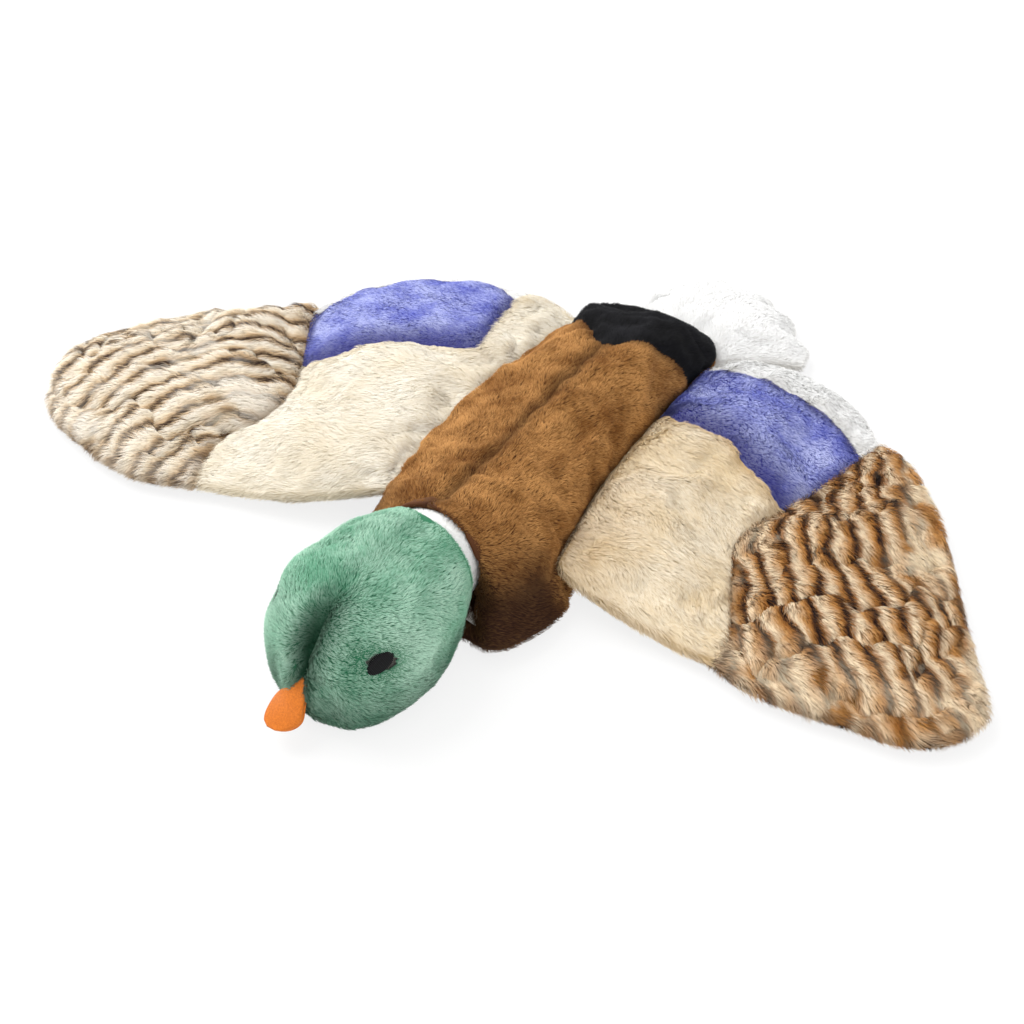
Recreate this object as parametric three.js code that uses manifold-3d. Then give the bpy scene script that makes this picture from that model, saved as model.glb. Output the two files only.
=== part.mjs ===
// A plush duck lying flat with its wings spread, in millimetres.
// +Z is up, the bill points to -Y, the tail to +Y, and the duck's left wing is on +X.
// The origin is in the middle of the flat that the belly rests on.

import * as THREE from 'three';
import { mergeVertices } from 'three/addons/utils/BufferGeometryUtils.js';
import Module from 'manifold-3d';

const wasm = await Module();
wasm.setup();

// Cloth and sewing
const cloth = 3;                 // backing with the dense lower pile of one panel
const seamGap = 0.3;             // between two panels along a seam
const hingeGap = 0.8;            // between two sections that fold against each other
const restFlat = 0.5;            // depth of the flats that the stuffed forms rest on
const rimShare = 0.3;            // cloth left at the rim of a stuffed section, as a share
const overrun = 40;              // how far a cutting shape runs past what it cuts

// Body
const bodyLength = 296;
const bodyFrontY = -130;
const bodyHalfWidth = 54;
const bodyTop = 58;
const bodyLean = 10;             // how far the chest lies over to the left
const chestBulge = 22;           // how far the chest spreads below the side seam
const flankFrontZ = 26;          // height of the side seam at the front of the wings
const flankRearZ = 16;           // and at their rear
const rumpPointY = 81;           // tip of the black rump patch on the back seam
const rumpArmAcross = 40;        // how far its arms run to the sides
const rumpArmBack = 34;          // and to the rear

// Stations from front to rear: place, half width, top, lean, underside and bulge, as shares
// of the body's length, half width, top, lean, side seam height and chest bulge.
const bodyShares = [
  [0.000, 0.50, 0.50, 0.90, 0.24, 0.50],
  [0.030, 0.69, 0.70, 0.90, 0.10, 0.80],
  [0.088, 0.87, 0.90, 0.90, 0.02, 0.90],
  [0.169, 0.98, 1.01, 0.80, 0.00, 0.90],
  [0.236, 0.96, 1.01, 0.50, 0.00, 0.19],
  [0.297, 0.96, 1.01, 0.20, 0.00, 0.00],
  [0.426, 0.93, 1.00, -0.20, 0.00, 0.00],
  [0.568, 0.90, 1.00, -0.30, 0.00, 0.00],
  [0.709, 0.88, 0.97, -0.30, 0.00, 0.00],
  [0.818, 0.86, 0.90, -0.20, 0.00, 0.00],
  [0.894, 0.82, 0.78, 0.00, 0.02, 0.00],
  [0.946, 0.76, 0.62, 0.40, 0.12, 0.00],
  [0.980, 0.63, 0.49, 0.50, 0.26, 0.00],
  [1.000, 0.48, 0.40, 0.50, 0.40, 0.00],
];
const bodySteps = 20;
const backPower = 2.2;       // 2 is an ellipse, more is squarer
const bellyPower = 3.4;

// Neck and head
const neckX = 6;
const neckY = -102;
const neckZ = 36;
const collarRadius = 29;
const collarWidth = 38;
const headLength = 100;
const headHalfWidth = 45;
const headTop = 73;
const headHeading = 6;           // degrees that the bill turns to the duck's right
const headSideShare = 0.5;       // height of its widest line, as a share of its height
// Half of the chest's outline round the neck: across, and back from the pivot. Below the
// pivot's height the chest comes forward under the head by this slope.
const chestEdge = [[34, 8.5], [40, -1], [50, -14], [58, -25]];
const chestSlope = 0.4;
// Place, half width, top, underside and how far the ring follows the neck's slope, as shares.
const headShares = [
  [0.06, 0.71, 0.95, 0.12, 1.00],
  [0.15, 0.82, 0.98, 0.05, 0.80],
  [0.25, 0.91, 1.00, 0.02, 0.50],
  [0.40, 0.98, 1.00, 0.00, 0.15],
  [0.60, 1.00, 0.99, 0.00, 0.00],
  [0.77, 0.90, 0.89, 0.00, 0.00],
  [0.89, 0.70, 0.73, 0.03, 0.00],
  [0.96, 0.44, 0.55, 0.10, 0.00],
  [1.00, 0.22, 0.40, 0.18, 0.00],
];
const napeSlope = 0.15;          // above the pivot the head's rear edge leans back by this
const headSteps = 18;
const ballSteps = 20;
const eyeSteps = 14;

// Eyes and bill
const eyeLength = 13;
const eyeHeight = 8;
const eyePad = 1.2;
const eyeSetBack = 27;           // from the head's front end
const eyeZ = 48;
const billWidth = 20;
const billLength = 28;
const feltThickness = 1.6;
const billSetIn = 8;             // the bill's root lies this far inside the head's front end
const billRootZ = 27;
const billDroop = 42;            // degrees below level
const billTurn = 20;             // degrees to the duck's right
const billRootShare = 0.8;      // width at the root, of the widest place
const billSteps = 12;

// Wings: one plan size each way, and how full they are
const wingRootFrontY = -62;
const wingChord = 198;
const leftWingReach = 227;
const rightWingReach = 254;
const wingRootX = 48;
const wingCrown = 13;
const tipCrown = 9;
const wingKeel = 6;              // how far the underside swells below the mid plane
const rootBendPower = 1.7;
const pillowPower = 2.6;     // 2 is a parabola, more is flatter in the middle
const wingRootPower = 0.75;     // how gently a section comes down to its ends: more is gentler
const wingEndPower = 1;
const tipEndPower = 0.8;
const tailEndPower = 0.9;
const sidePower = 0.6;          // and to its front and rear edges
const wingSteps = 7;
const chordSteps = 8;
const tipSteps = 5;

// Tail
const tailBaseHalfWidth = 38;
const tailCrown = 8;
const tailKeel = 5;
const tailReach = 66;
const tailSpread = 92;
const scallopCount = 5;
const scallopDepth = 5;
const tailSteps = 4;
const fanSteps = 15;
const fringeSteps = 4;        // points along the fringe for each step of the fan

// Outlines of the wings as shares of reach, outward, and of chord, to the rear.
const leftWingShares = {
  front: [[0.085, -0.015], [0.200, -0.022]],
  seam: [[0.452, -0.015], [0.440, 0.085], [0.395, 0.212], [0.340, 0.365], [0.345, 0.490],
    [0.385, 0.580], [0.460, 0.860], [0.484, 1.000]],
  rear: [[0.035, 1.085], [0.105, 1.135], [0.200, 1.158], [0.310, 1.142], [0.410, 1.085]],
  tipFront: [[0.570, -0.035], [0.745, -0.010], [0.880, 0.020], [0.965, 0.085]],
  outer: [[1.005, 0.200], [0.975, 0.265], [0.885, 0.439], [0.795, 0.631], [0.690, 0.818],
    [0.578, 0.965]],
  blueFront: [[0.012, 0.690], [0.060, 0.675], [0.150, 0.690], [0.257, 0.624], [0.400, 0.578]],
  blueRear: [[0.482, 0.905], [0.400, 0.955], [0.325, 0.988], [0.240, 1.007], [0.118, 1.000],
    [0.018, 1.010]],
};
const rightWingShares = {
  front: [[0.110, -0.075], [0.225, -0.145]],
  seam: [[0.420, -0.222], [0.453, -0.136], [0.470, -0.030], [0.440, 0.070], [0.436, 0.200],
    [0.478, 0.335], [0.590, 0.565], [0.612, 0.650]],
  rear: [[0.087, 1.060], [0.173, 1.072], [0.331, 1.050], [0.461, 0.965], [0.567, 0.815]],
  tipFront: [[0.575, -0.285], [0.740, -0.265], [0.880, -0.215], [0.955, -0.125]],
  outer: [[1.000, 0.010], [1.005, 0.121], [0.945, 0.232], [0.862, 0.384], [0.772, 0.475],
    [0.660, 0.600]],
  blueFront: [[0.114, 0.653], [0.230, 0.597], [0.356, 0.495], [0.429, 0.418], [0.505, 0.360]],
  blueRear: [[0.604, 0.600], [0.543, 0.797], [0.444, 0.937], [0.323, 1.016], [0.225, 1.025],
    [0.160, 0.950]],
};

// Outline of the tail's fan as shares of its spread and reach, left edge to right edge.
const tailSideLeftShares = [[-0.40, 0.20]];
const tailRearShares = [[-0.25, 0.54], [0.10, 1.08], [0.56, 0.98], [0.92, 0.50], [0.98, 0.24]];
const tailSideRightShares = [[0.72, 0.06]];

const colours = {
  brown: 0x8a5a2b, black: 0x15151a, green: 0x5f9f7d, white: 0xf6f6f4, orange: 0xf08a2c,
  cream: 0xe8dcbf, blue: 0x5a62c8, striped: 0xd2a873, wadding: 0xf2f0ea, eye: 0x0c0c0e,
};

// Closed meshes and cuts

function closedGeometry(points, triangles) {
  const geometry = new THREE.BufferGeometry();
  const position = new Float32Array(points.flatMap((point) => [point.x, point.y, point.z]));
  geometry.setAttribute('position', new THREE.BufferAttribute(position, 3));
  geometry.setIndex(triangles.flat());
  return geometry;
}

function solidOf(geometry) {
  const bare = geometry.clone();
  bare.deleteAttribute('normal');
  bare.deleteAttribute('uv');
  const merged = mergeVertices(bare);
  return new wasm.Manifold(new wasm.Mesh({
    numProp: 3,
    vertProperties: new Float32Array(merged.attributes.position.array),
    triVerts: new Uint32Array(merged.index.array),
  }));
}

function geometryOf(solid) {
  const mesh = solid.getMesh();
  const geometry = new THREE.BufferGeometry();
  const position = new Float32Array(mesh.vertProperties);
  geometry.setAttribute('position', new THREE.BufferAttribute(position, 3));
  geometry.setIndex(new THREE.BufferAttribute(new Uint32Array(mesh.triVerts), 1));
  return geometry;
}

function panel(name, geometry, colour, roughness = 1) {
  geometry.computeVertexNormals();
  const finish = new THREE.MeshStandardMaterial({ color: colour, roughness, metalness: 0 });
  const mesh = new THREE.Mesh(geometry, finish);
  mesh.name = name;
  return mesh;
}

function block(low, high) {
  const size = high.clone().sub(low);
  const centre = high.clone().add(low).multiplyScalar(0.5);
  const box = new THREE.BoxGeometry(size.x, size.y, size.z);
  return solidOf(box.translate(centre.x, centre.y, centre.z));
}

// An upright prism over a plan outline, tall enough to cut any panel.
function prism(outline) {
  const shape = new THREE.Shape(outline);
  const depth = bodyTop + 2 * overrun;
  const slab = new THREE.ExtrudeGeometry(shape, { depth, bevelEnabled: false, steps: 1 });
  return solidOf(slab.translate(0, 0, -overrun));
}

const blend = (from, to, share) => from + (to - from) * share;

// Rings joined along their length, each end closed by a fan to its middle.
function loft(rings) {
  const points = rings.flat();
  const count = rings[0].length;
  const triangles = [];
  for (let ring = 0; ring + 1 < rings.length; ring += 1) {
    for (let step = 0; step < count; step += 1) {
      const a = ring * count + step;
      const b = ring * count + (step + 1) % count;
      triangles.push([a, b, b + count], [a, b + count, a + count]);
    }
  }
  [rings[0], rings[rings.length - 1]].forEach((ring, isLast) => {
    const middle = ring.reduce((sum, point) => sum.add(point), new THREE.Vector3());
    points.push(middle.divideScalar(count));
    const centre = points.length - 1;
    const first = isLast * (rings.length - 1) * count;
    for (let step = 0; step < count; step += 1) {
      const here = first + step;
      const next = first + (step + 1) % count;
      triangles.push(isLast ? [here, next, centre] : [next, here, centre]);
    }
  });
  return closedGeometry(points, triangles);
}

// One rounded cross-section: widest at the side height, with its own roundness above
// and below, and a bulge low on its sides. A loft of them towards +Y faces out.
function section(y, lean, halfWidth, low, side, top, steps, bulge = 0) {
  return Array.from({ length: steps }, (_, step) => {
    const angle = 2 * Math.PI * step / steps;
    const across = Math.cos(angle);
    const up = -Math.sin(angle);
    const power = 2 / (up > 0 ? backPower : bellyPower);
    const rise = up > 0 ? top - side : side - low;
    const spread = up < 0 ? bulge * Math.sin(2 * angle) : 0;
    const x = lean + halfWidth * Math.sign(across) * Math.abs(across) ** power + spread;
    return new THREE.Vector3(x, y, side + rise * Math.sign(up) * Math.abs(up) ** power);
  });
}

// Body

const flankSlope = (flankRearZ - flankFrontZ) / wingChord;
const flankZ = (y) => flankFrontZ + flankSlope * (y - wingRootFrontY);

function bodyStation([place, width, top, lean, under, bulge]) {
  const y = bodyFrontY + place * bodyLength;
  const side = flankZ(y);
  return {
    y,
    side,
    halfWidth: width * bodyHalfWidth,
    top: top * bodyTop,
    lean: lean * bodyLean,
    low: under * side - restFlat,
    bulge: bulge * chestBulge,
  };
}

const bodyStations = bodyShares.map(bodyStation);

// The body's outline at the side seam, on one side, where a wing is sewn on.
function flankX(y, side) {
  const after = bodyStations.findIndex((station) => station.y >= y);
  const far = bodyStations[after];
  const near = bodyStations[after - 1];
  const share = (y - near.y) / (far.y - near.y);
  const lean = blend(near.lean, far.lean, share);
  return side * lean + blend(near.halfWidth, far.halfWidth, share);
}

// The body's form drawn in on every side by one depth.
function bodyForm(depth) {
  const front = bodyFrontY + depth;
  const rear = bodyFrontY + bodyLength - depth;
  return solidOf(loft(bodyStations.map((station) => section(
    THREE.MathUtils.clamp(station.y, front, rear),
    station.lean,
    station.halfWidth - depth,
    station.low + depth,
    station.side,
    station.top - depth,
    bodySteps,
    station.bulge,
  ))));
}

const neckPivot = new THREE.Vector3(neckX, neckY, neckZ);

function ball(radius) {
  const sphere = new THREE.SphereGeometry(radius, ballSteps, ballSteps / 2);
  return solidOf(sphere.rotateX(Math.PI / 2));
}

function corner(x, y, z) {
  return new THREE.Vector3(x, y, z);
}

const farX = bodyHalfWidth + overrun;
const farFrontY = bodyFrontY - overrun;
const farRearY = bodyFrontY + bodyLength + overrun;
const aboveFloor = block(corner(-farX, farFrontY, 0), corner(farX, farRearY, bodyTop + overrun));

// Everything above the sloping side seam, moved up or down by half a seam.
function aboveSeam(shift) {
  const frontZ = flankZ(farFrontY) + shift;
  const rearZ = flankZ(farRearY) + shift;
  const profile = [
    new THREE.Vector2(farFrontY, frontZ),
    new THREE.Vector2(farRearY, rearZ),
    new THREE.Vector2(farRearY, bodyTop + overrun),
    new THREE.Vector2(farFrontY, bodyTop + overrun),
  ];
  const depth = 2 * farX;
  const slab = new THREE.ExtrudeGeometry(new THREE.Shape(profile), { depth, bevelEnabled: false });
  const upright = new THREE.Matrix4().makeBasis(
    new THREE.Vector3(0, 1, 0),
    new THREE.Vector3(0, 0, 1),
    new THREE.Vector3(1, 0, 0),
  );
  return solidOf(slab.applyMatrix4(upright).translate(-farX, 0, 0));
}

// Room for the neck, and for the head as it turns: a ball, and all that lies in front of
// the chest's two shoulders.
function neckRoom() {
  const reach = headLength + overrun;
  const socket = collarRadius + hingeGap;
  const [, shoulder] = chestEdge[chestEdge.length - 1];
  const half = [...chestEdge, [reach, shoulder], [reach, -reach]];
  const left = half.map(([x, y]) => new THREE.Vector2(x, y));
  const right = half.map(([x, y]) => new THREE.Vector2(-x, y)).reverse();
  const front = prism([...left, ...right].reverse());
  const slope = new THREE.Matrix4().makeShear(0, 0, 0, 0, 0, chestSlope);
  const upper = front.intersect(block(corner(-reach, -reach, 0), corner(reach, reach, reach)));
  const lower = front.transform(slope.elements)
    .intersect(block(corner(-reach, -2 * reach, -reach), corner(reach, reach, 0)));
  return ball(socket).add(upper).add(lower).translate(neckPivot.toArray());
}

function makeBody() {
  const room = neckRoom();
  const outer = bodyForm(0).intersect(aboveFloor).subtract(room);
  const skin = outer.subtract(bodyForm(cloth));
  const half = seamGap / 2;
  const upper = skin.intersect(aboveSeam(half));
  const belly = skin.subtract(aboveSeam(-half));
  const rumpOutline = (grow) => [
    new THREE.Vector2(0, rumpPointY - grow),
    new THREE.Vector2(rumpArmAcross, rumpPointY + rumpArmBack - grow),
    new THREE.Vector2(farX, rumpPointY + rumpArmBack - grow),
    new THREE.Vector2(farX, farRearY),
    new THREE.Vector2(-farX, farRearY),
    new THREE.Vector2(-farX, rumpPointY + rumpArmBack - grow),
    new THREE.Vector2(-rumpArmAcross, rumpPointY + rumpArmBack - grow),
  ];
  const rump = upper.intersect(prism(rumpOutline(-half)));
  const back = upper.subtract(prism(rumpOutline(half)));
  const leftSide = block(corner(half, farFrontY, 0), corner(farX, farRearY, bodyTop + overrun));
  const rightSide = block(corner(-farX, farFrontY, 0), corner(-half, farRearY, bodyTop + overrun));
  const stuffing = bodyForm(cloth + seamGap).subtract(room);
  const group = new THREE.Group();
  group.add(
    panel('back_panel_left', geometryOf(back.intersect(leftSide)), colours.brown),
    panel('back_panel_right', geometryOf(back.intersect(rightSide)), colours.brown),
    panel('belly_panel', geometryOf(belly), colours.brown),
    panel('rump_patch', geometryOf(rump), colours.black),
    panel('body_stuffing', geometryOf(stuffing), colours.wadding),
  );
  return group;
}

// Neck and head, drawn about the neck's pivot with the bill towards -Y

// The white collar is a round band of cloth that turns in the chest and holds stuffing.
function makeCollar() {
  const reach = collarRadius + overrun;
  const slice = (inset) => block(
    corner(-reach, inset - collarWidth / 2, restFlat - neckZ),
    corner(reach, collarWidth / 2 - inset, reach),
  );
  const band = ball(collarRadius).subtract(ball(collarRadius - cloth)).intersect(slice(0));
  const core = ball(collarRadius - cloth - seamGap).intersect(slice(seamGap));
  return [
    panel('neck_collar', geometryOf(band), colours.white),
    panel('neck_stuffing', geometryOf(core), colours.wadding),
  ];
}

// The head's form, drawn in on every side by one depth.
function headForm(depth) {
  const rings = headShares.map(([place, width, top, under, follow]) => {
    const low = under * headTop - restFlat - neckZ + depth;
    const high = top * headTop - neckZ - depth;
    const ring = section(
      -depth - place * (headLength - 2 * depth),
      0,
      width * headHalfWidth - depth,
      low,
      blend(low, high, headSideShare),
      high,
      headSteps,
    );
    ring.forEach((point) => {
      point.y += follow * point.z * (point.z > 0 ? napeSlope : chestSlope);
    });
    return ring;
  });
  return solidOf(loft(rings.reverse()));
}

const billRootHalf = billRootShare * billWidth / 2;

// A level sheet in the bill's outline, grown on every side.
function billSheet(low, high, grow) {
  const centre = billLength - billWidth / 2;
  const side = even(billSteps).map((share) => new THREE.Vector2(
    billWidth / 2 * Math.cos(Math.PI * share),
    -centre - billWidth / 2 * Math.sin(Math.PI * share),
  ));
  const right = new THREE.Vector2(billRootHalf, 0);
  const left = new THREE.Vector2(-billRootHalf, 0);
  const outline = insetOutline([right, ...side, left].reverse(), -grow);
  const depth = high - low;
  const slab = new THREE.ExtrudeGeometry(new THREE.Shape(outline), { depth, bevelEnabled: false });
  return solidOf(slab.translate(0, 0, low));
}

function makeBill() {
  const half = seamGap / 2;
  const upper = billSheet(half, half + feltThickness, 0);
  const under = billSheet(-half - feltThickness, -half, 0);
  const group = new THREE.Group();
  group.position.set(0, billSetIn - headLength, billRootZ - neckZ);
  group.rotation.set(
    THREE.MathUtils.degToRad(billDroop),
    0,
    -THREE.MathUtils.degToRad(billTurn),
    'ZYX',
  );
  group.add(
    panel('bill_top_felt', geometryOf(upper), colours.orange),
    panel('bill_under_felt', geometryOf(under), colours.orange),
  );
  return group;
}

function makeHead() {
  const floor = -neckZ;
  const reach = headLength + overrun;
  const above = block(corner(-reach, -reach, floor), corner(reach, reach, reach));
  const socket = ball(collarRadius + hingeGap);
  const outer = headForm(0).intersect(above).subtract(socket);
  const bill = makeBill();
  bill.updateMatrixWorld(true);
  const billRise = feltThickness + 1.5 * seamGap;
  const billRoom = billSheet(-billRise, billRise, seamGap).transform(bill.matrixWorld.elements);
  const eyes = [1, -1].map((side) => makeEye(side, outer));
  const skin = eyes.reduce(
    (rest, eye) => rest.subtract(eye.room),
    outer.subtract(headForm(cloth)).subtract(billRoom),
  );
  const stuffing = headForm(cloth + seamGap).subtract(socket).subtract(billRoom);
  const half = seamGap / 2;
  const left = block(corner(half, -reach, -reach), corner(reach, reach, reach));
  const right = block(corner(-reach, -reach, -reach), corner(-half, reach, reach));
  const group = new THREE.Group();
  group.rotation.z = -THREE.MathUtils.degToRad(headHeading);
  group.add(
    panel('head_panel_left', geometryOf(skin.intersect(left)), colours.green),
    panel('head_panel_right', geometryOf(skin.intersect(right)), colours.green),
    panel('head_stuffing', geometryOf(stuffing), colours.wadding),
    bill,
    ...eyes.map((eye) => eye.mesh),
  );
  return group;
}

// A pad of satin-stitched thread set into the head's cloth.
function makeEye(side, head) {
  const pad = (grow) => {
    const round = new THREE.CylinderGeometry(1, 1, headHalfWidth, eyeSteps);
    round.rotateZ(Math.PI / 2);
    round.scale(1, eyeLength / 2 + grow, eyeHeight / 2 + grow);
    round.translate(side * headHalfWidth, eyeSetBack - headLength, eyeZ - neckZ);
    return solidOf(round);
  };
  const sunk = headForm(eyePad);
  const thread = head.intersect(pad(0)).subtract(sunk);
  return {
    room: pad(seamGap).subtract(headForm(eyePad + seamGap)),
    mesh: panel(side > 0 ? 'eye_left' : 'eye_right', geometryOf(thread), colours.eye, 0.6),
  };
}

// Stuffed flat sections: a plan patch between four curves, with cloth above and below

const curveOf = (points) => new THREE.SplineCurve(points);

function patchPoint(patch, s, t) {
  const along = patch.front.getPointAt(s).multiplyScalar(1 - t);
  along.addScaledVector(patch.rear.getPointAt(s), t);
  const across = patch.inner.getPointAt(t).multiplyScalar(1 - s);
  across.addScaledVector(patch.outer.getPointAt(t), s);
  const corners = patch.inner.getPointAt(0).multiplyScalar((1 - s) * (1 - t));
  corners.addScaledVector(patch.inner.getPointAt(1), (1 - s) * t);
  corners.addScaledVector(patch.outer.getPointAt(0), s * (1 - t));
  corners.addScaledVector(patch.outer.getPointAt(1), s * t);
  return along.add(across).sub(corners);
}

const eased = (steps) => Array.from(
  { length: steps + 1 },
  (_, step) => (1 - Math.cos(Math.PI * step / steps)) / 2,
);
const even = (steps) => Array.from({ length: steps + 1 }, (_, step) => step / steps);

// A closed sheet between two height functions over a grid of plan points.
function sheet(patch, places, lower, upper) {
  const rows = places.s.length;
  const columns = places.t.length;
  const heights = [lower, upper];
  const points = heights.flatMap((height) => places.s.flatMap((s) => places.t.map((t) => {
    const plan = patchPoint(patch, s, t);
    return new THREE.Vector3(plan.x, plan.y, height(s, t));
  })));
  const at = (layer, row, column) => (layer * rows + row) * columns + column;
  const triangles = [];
  const quad = (a, b, c, d) => triangles.push([a, b, c], [a, c, d]);
  for (let row = 0; row + 1 < rows; row += 1) {
    for (let column = 0; column + 1 < columns; column += 1) {
      quad(at(1, row, column), at(1, row + 1, column), at(1, row + 1, column + 1), at(1, row, column + 1));
      quad(at(0, row, column), at(0, row, column + 1), at(0, row + 1, column + 1), at(0, row + 1, column));
    }
    const end = columns - 1;
    quad(at(0, row, 0), at(0, row + 1, 0), at(1, row + 1, 0), at(1, row, 0));
    quad(at(0, row + 1, end), at(0, row, end), at(1, row, end), at(1, row + 1, end));
  }
  for (let column = 0; column + 1 < columns; column += 1) {
    const end = rows - 1;
    quad(at(0, 0, column + 1), at(0, 0, column), at(1, 0, column), at(1, 0, column + 1));
    quad(at(0, end, column), at(0, end, column + 1), at(1, end, column + 1), at(1, end, column));
  }
  const faces = patch.turned ? triangles.map(([a, b, c]) => [a, c, b]) : triangles;
  return closedGeometry(points, faces);
}

const hump = (share, fullness) => (1 - Math.abs(2 * share - 1) ** pillowPower) ** fullness;

// The three layers of a stuffed section. form gives the mid plane's height, the crown
// above it and the keel below it, and how gently each side comes down to its rim.
function layers(patch, form, places) {
  const half = seamGap / 2;
  const swell = (s, t) => hump(s, s < 0.5 ? form.rootPower : form.endPower) * hump(t, sidePower);
  const inside = (value) => value > 0 && value < 1;
  const thick = (s, t) => cloth * (inside(s) && inside(t) ? 1 : rimShare);
  const mid = form.mid;
  const topIn = (s, t) => mid(s, t) + half + form.crown * swell(s, t);
  const underIn = (s, t) => mid(s, t) - half - form.keel * swell(s, t);
  const rest = (z) => Math.max(z, 0);
  const inner = { s: places.s.slice(1, -1), t: places.t.slice(1, -1) };
  return {
    top: sheet(patch, places, topIn, (s, t) => topIn(s, t) + thick(s, t)),
    under: sheet(patch, places, (s, t) => rest(underIn(s, t) - thick(s, t)), underIn),
    fill: sheet(patch, inner, (s, t) => underIn(s, t) + seamGap, (s, t) => topIn(s, t) - seamGap),
  };
}

// Wings

const wingMidZ = wingKeel + cloth + seamGap / 2 - restFlat;

function makeWing(side, shares, reach) {
  const name = side > 0 ? 'left' : 'right';
  const place = ([out, back]) => new THREE.Vector2(
    side * (wingRootX + out * reach),
    wingRootFrontY + back * wingChord,
  );
  const rootAt = (share) => {
    const y = wingRootFrontY + share * wingChord;
    return new THREE.Vector2(side * (flankX(y, side) + hingeGap), y);
  };
  const root = even(chordSteps).map(rootAt);
  const seam = shares.seam.map(place);
  const outer = shares.outer.map(place);
  const last = (list) => list[list.length - 1];
  const outward = new THREE.Vector2(side * hingeGap, 0);
  const tipSeam = seam.map((point) => point.clone().add(outward));
  const inner = {
    front: curveOf([root[0], ...shares.front.map(place), seam[0]]),
    rear: curveOf([last(root), ...shares.rear.map(place), last(seam)]),
    inner: curveOf(root),
    outer: curveOf(seam),
    turned: side < 0,
  };
  const tip = {
    front: curveOf([tipSeam[0], ...shares.tipFront.map(place), outer[0]]),
    rear: curveOf([last(tipSeam), last(outer)]),
    inner: curveOf(tipSeam),
    outer: curveOf(outer),
    turned: side < 0,
  };
  const rootZ = (t) => blend(flankFrontZ, flankRearZ, t);
  const innerLayers = layers(inner, {
    mid: (s, t) => wingMidZ + (rootZ(t) - wingMidZ) * (1 - s) ** rootBendPower,
    crown: wingCrown,
    keel: wingKeel,
    rootPower: wingRootPower,
    endPower: wingEndPower,
  }, { s: eased(wingSteps), t: eased(chordSteps) });
  const tipLayers = layers(tip, {
    mid: () => wingMidZ,
    crown: tipCrown,
    keel: wingKeel,
    rootPower: tipEndPower,
    endPower: tipEndPower,
  }, { s: eased(tipSteps), t: eased(chordSteps) });

  const blueEdge = shares.blueFront.map(place);
  const blueBack = shares.blueRear.map(place);
  const shrink = (outline) => insetOutline(outline, side * seamGap / 2);
  const grown = (outline) => insetOutline(outline, -side * seamGap / 2);
  const blueOutline = [...blueEdge, ...blueBack];
  const bandOutline = [
    ...blueBack,
    place([last(shares.blueRear)[0], 1 + overrun / wingChord]),
    place([1, 1 + overrun / wingChord]),
    place([1, shares.blueRear[0][1]]),
  ].reverse();
  const top = solidOf(innerLayers.top);
  const blue = top.intersect(prism(shrink(blueOutline)));
  const band = top.intersect(prism(shrink(bandOutline)));
  const shoulder = top.subtract(prism(grown(blueOutline))).subtract(prism(grown(bandOutline)));
  const group = new THREE.Group();
  group.add(
    panel(`wing_shoulder_${name}`, geometryOf(shoulder), colours.cream),
    panel(`wing_speculum_${name}`, geometryOf(blue), colours.blue),
    panel(`wing_band_${name}`, geometryOf(band), colours.white),
    panel(`wing_under_${name}`, innerLayers.under, colours.cream),
    panel(`wing_wadding_${name}`, innerLayers.fill, colours.wadding),
    panel(`tip_top_${name}`, tipLayers.top, colours.striped),
    panel(`tip_under_${name}`, tipLayers.under, colours.striped),
    panel(`tip_wadding_${name}`, tipLayers.fill, colours.wadding),
  );
  return group;
}

const leastSpreadShare = 0.5;      // keeps a sharp corner from running far out

// An outline moved to its inside by one distance, along each corner's bisector.
function insetOutline(outline, distance) {
  const count = outline.length;
  return outline.map((point, index) => {
    const before = outline[(index + count - 1) % count];
    const after = outline[(index + 1) % count];
    const edgeIn = point.clone().sub(before).normalize();
    const edgeOut = after.clone().sub(point).normalize();
    const normalIn = new THREE.Vector2(-edgeIn.y, edgeIn.x);
    const normalOut = new THREE.Vector2(-edgeOut.y, edgeOut.x);
    const bisector = normalIn.add(normalOut).normalize();
    const spread = Math.max(bisector.dot(normalOut), leastSpreadShare);
    return point.clone().addScaledVector(bisector, distance / spread);
  });
}

// Tail

const tailMidZ = tailKeel + cloth + seamGap / 2 - restFlat;
const bodyRear = bodyStations[bodyStations.length - 1];
const tailBaseY = bodyRear.y + hingeGap;

// Where the body's rear end lies at a distance across, seen from above.
function rearY(x) {
  const reach = (station) => Math.sign(x - station.lean) * (x - station.lean) - station.halfWidth;
  if (reach(bodyRear) <= 0) return bodyRear.y;
  const after = bodyStations.findLastIndex((station) => reach(station) <= 0);
  const near = bodyStations[after];
  const far = bodyStations[after + 1];
  return blend(near.y, far.y, -reach(near) / (reach(far) - reach(near)));
}

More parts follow.
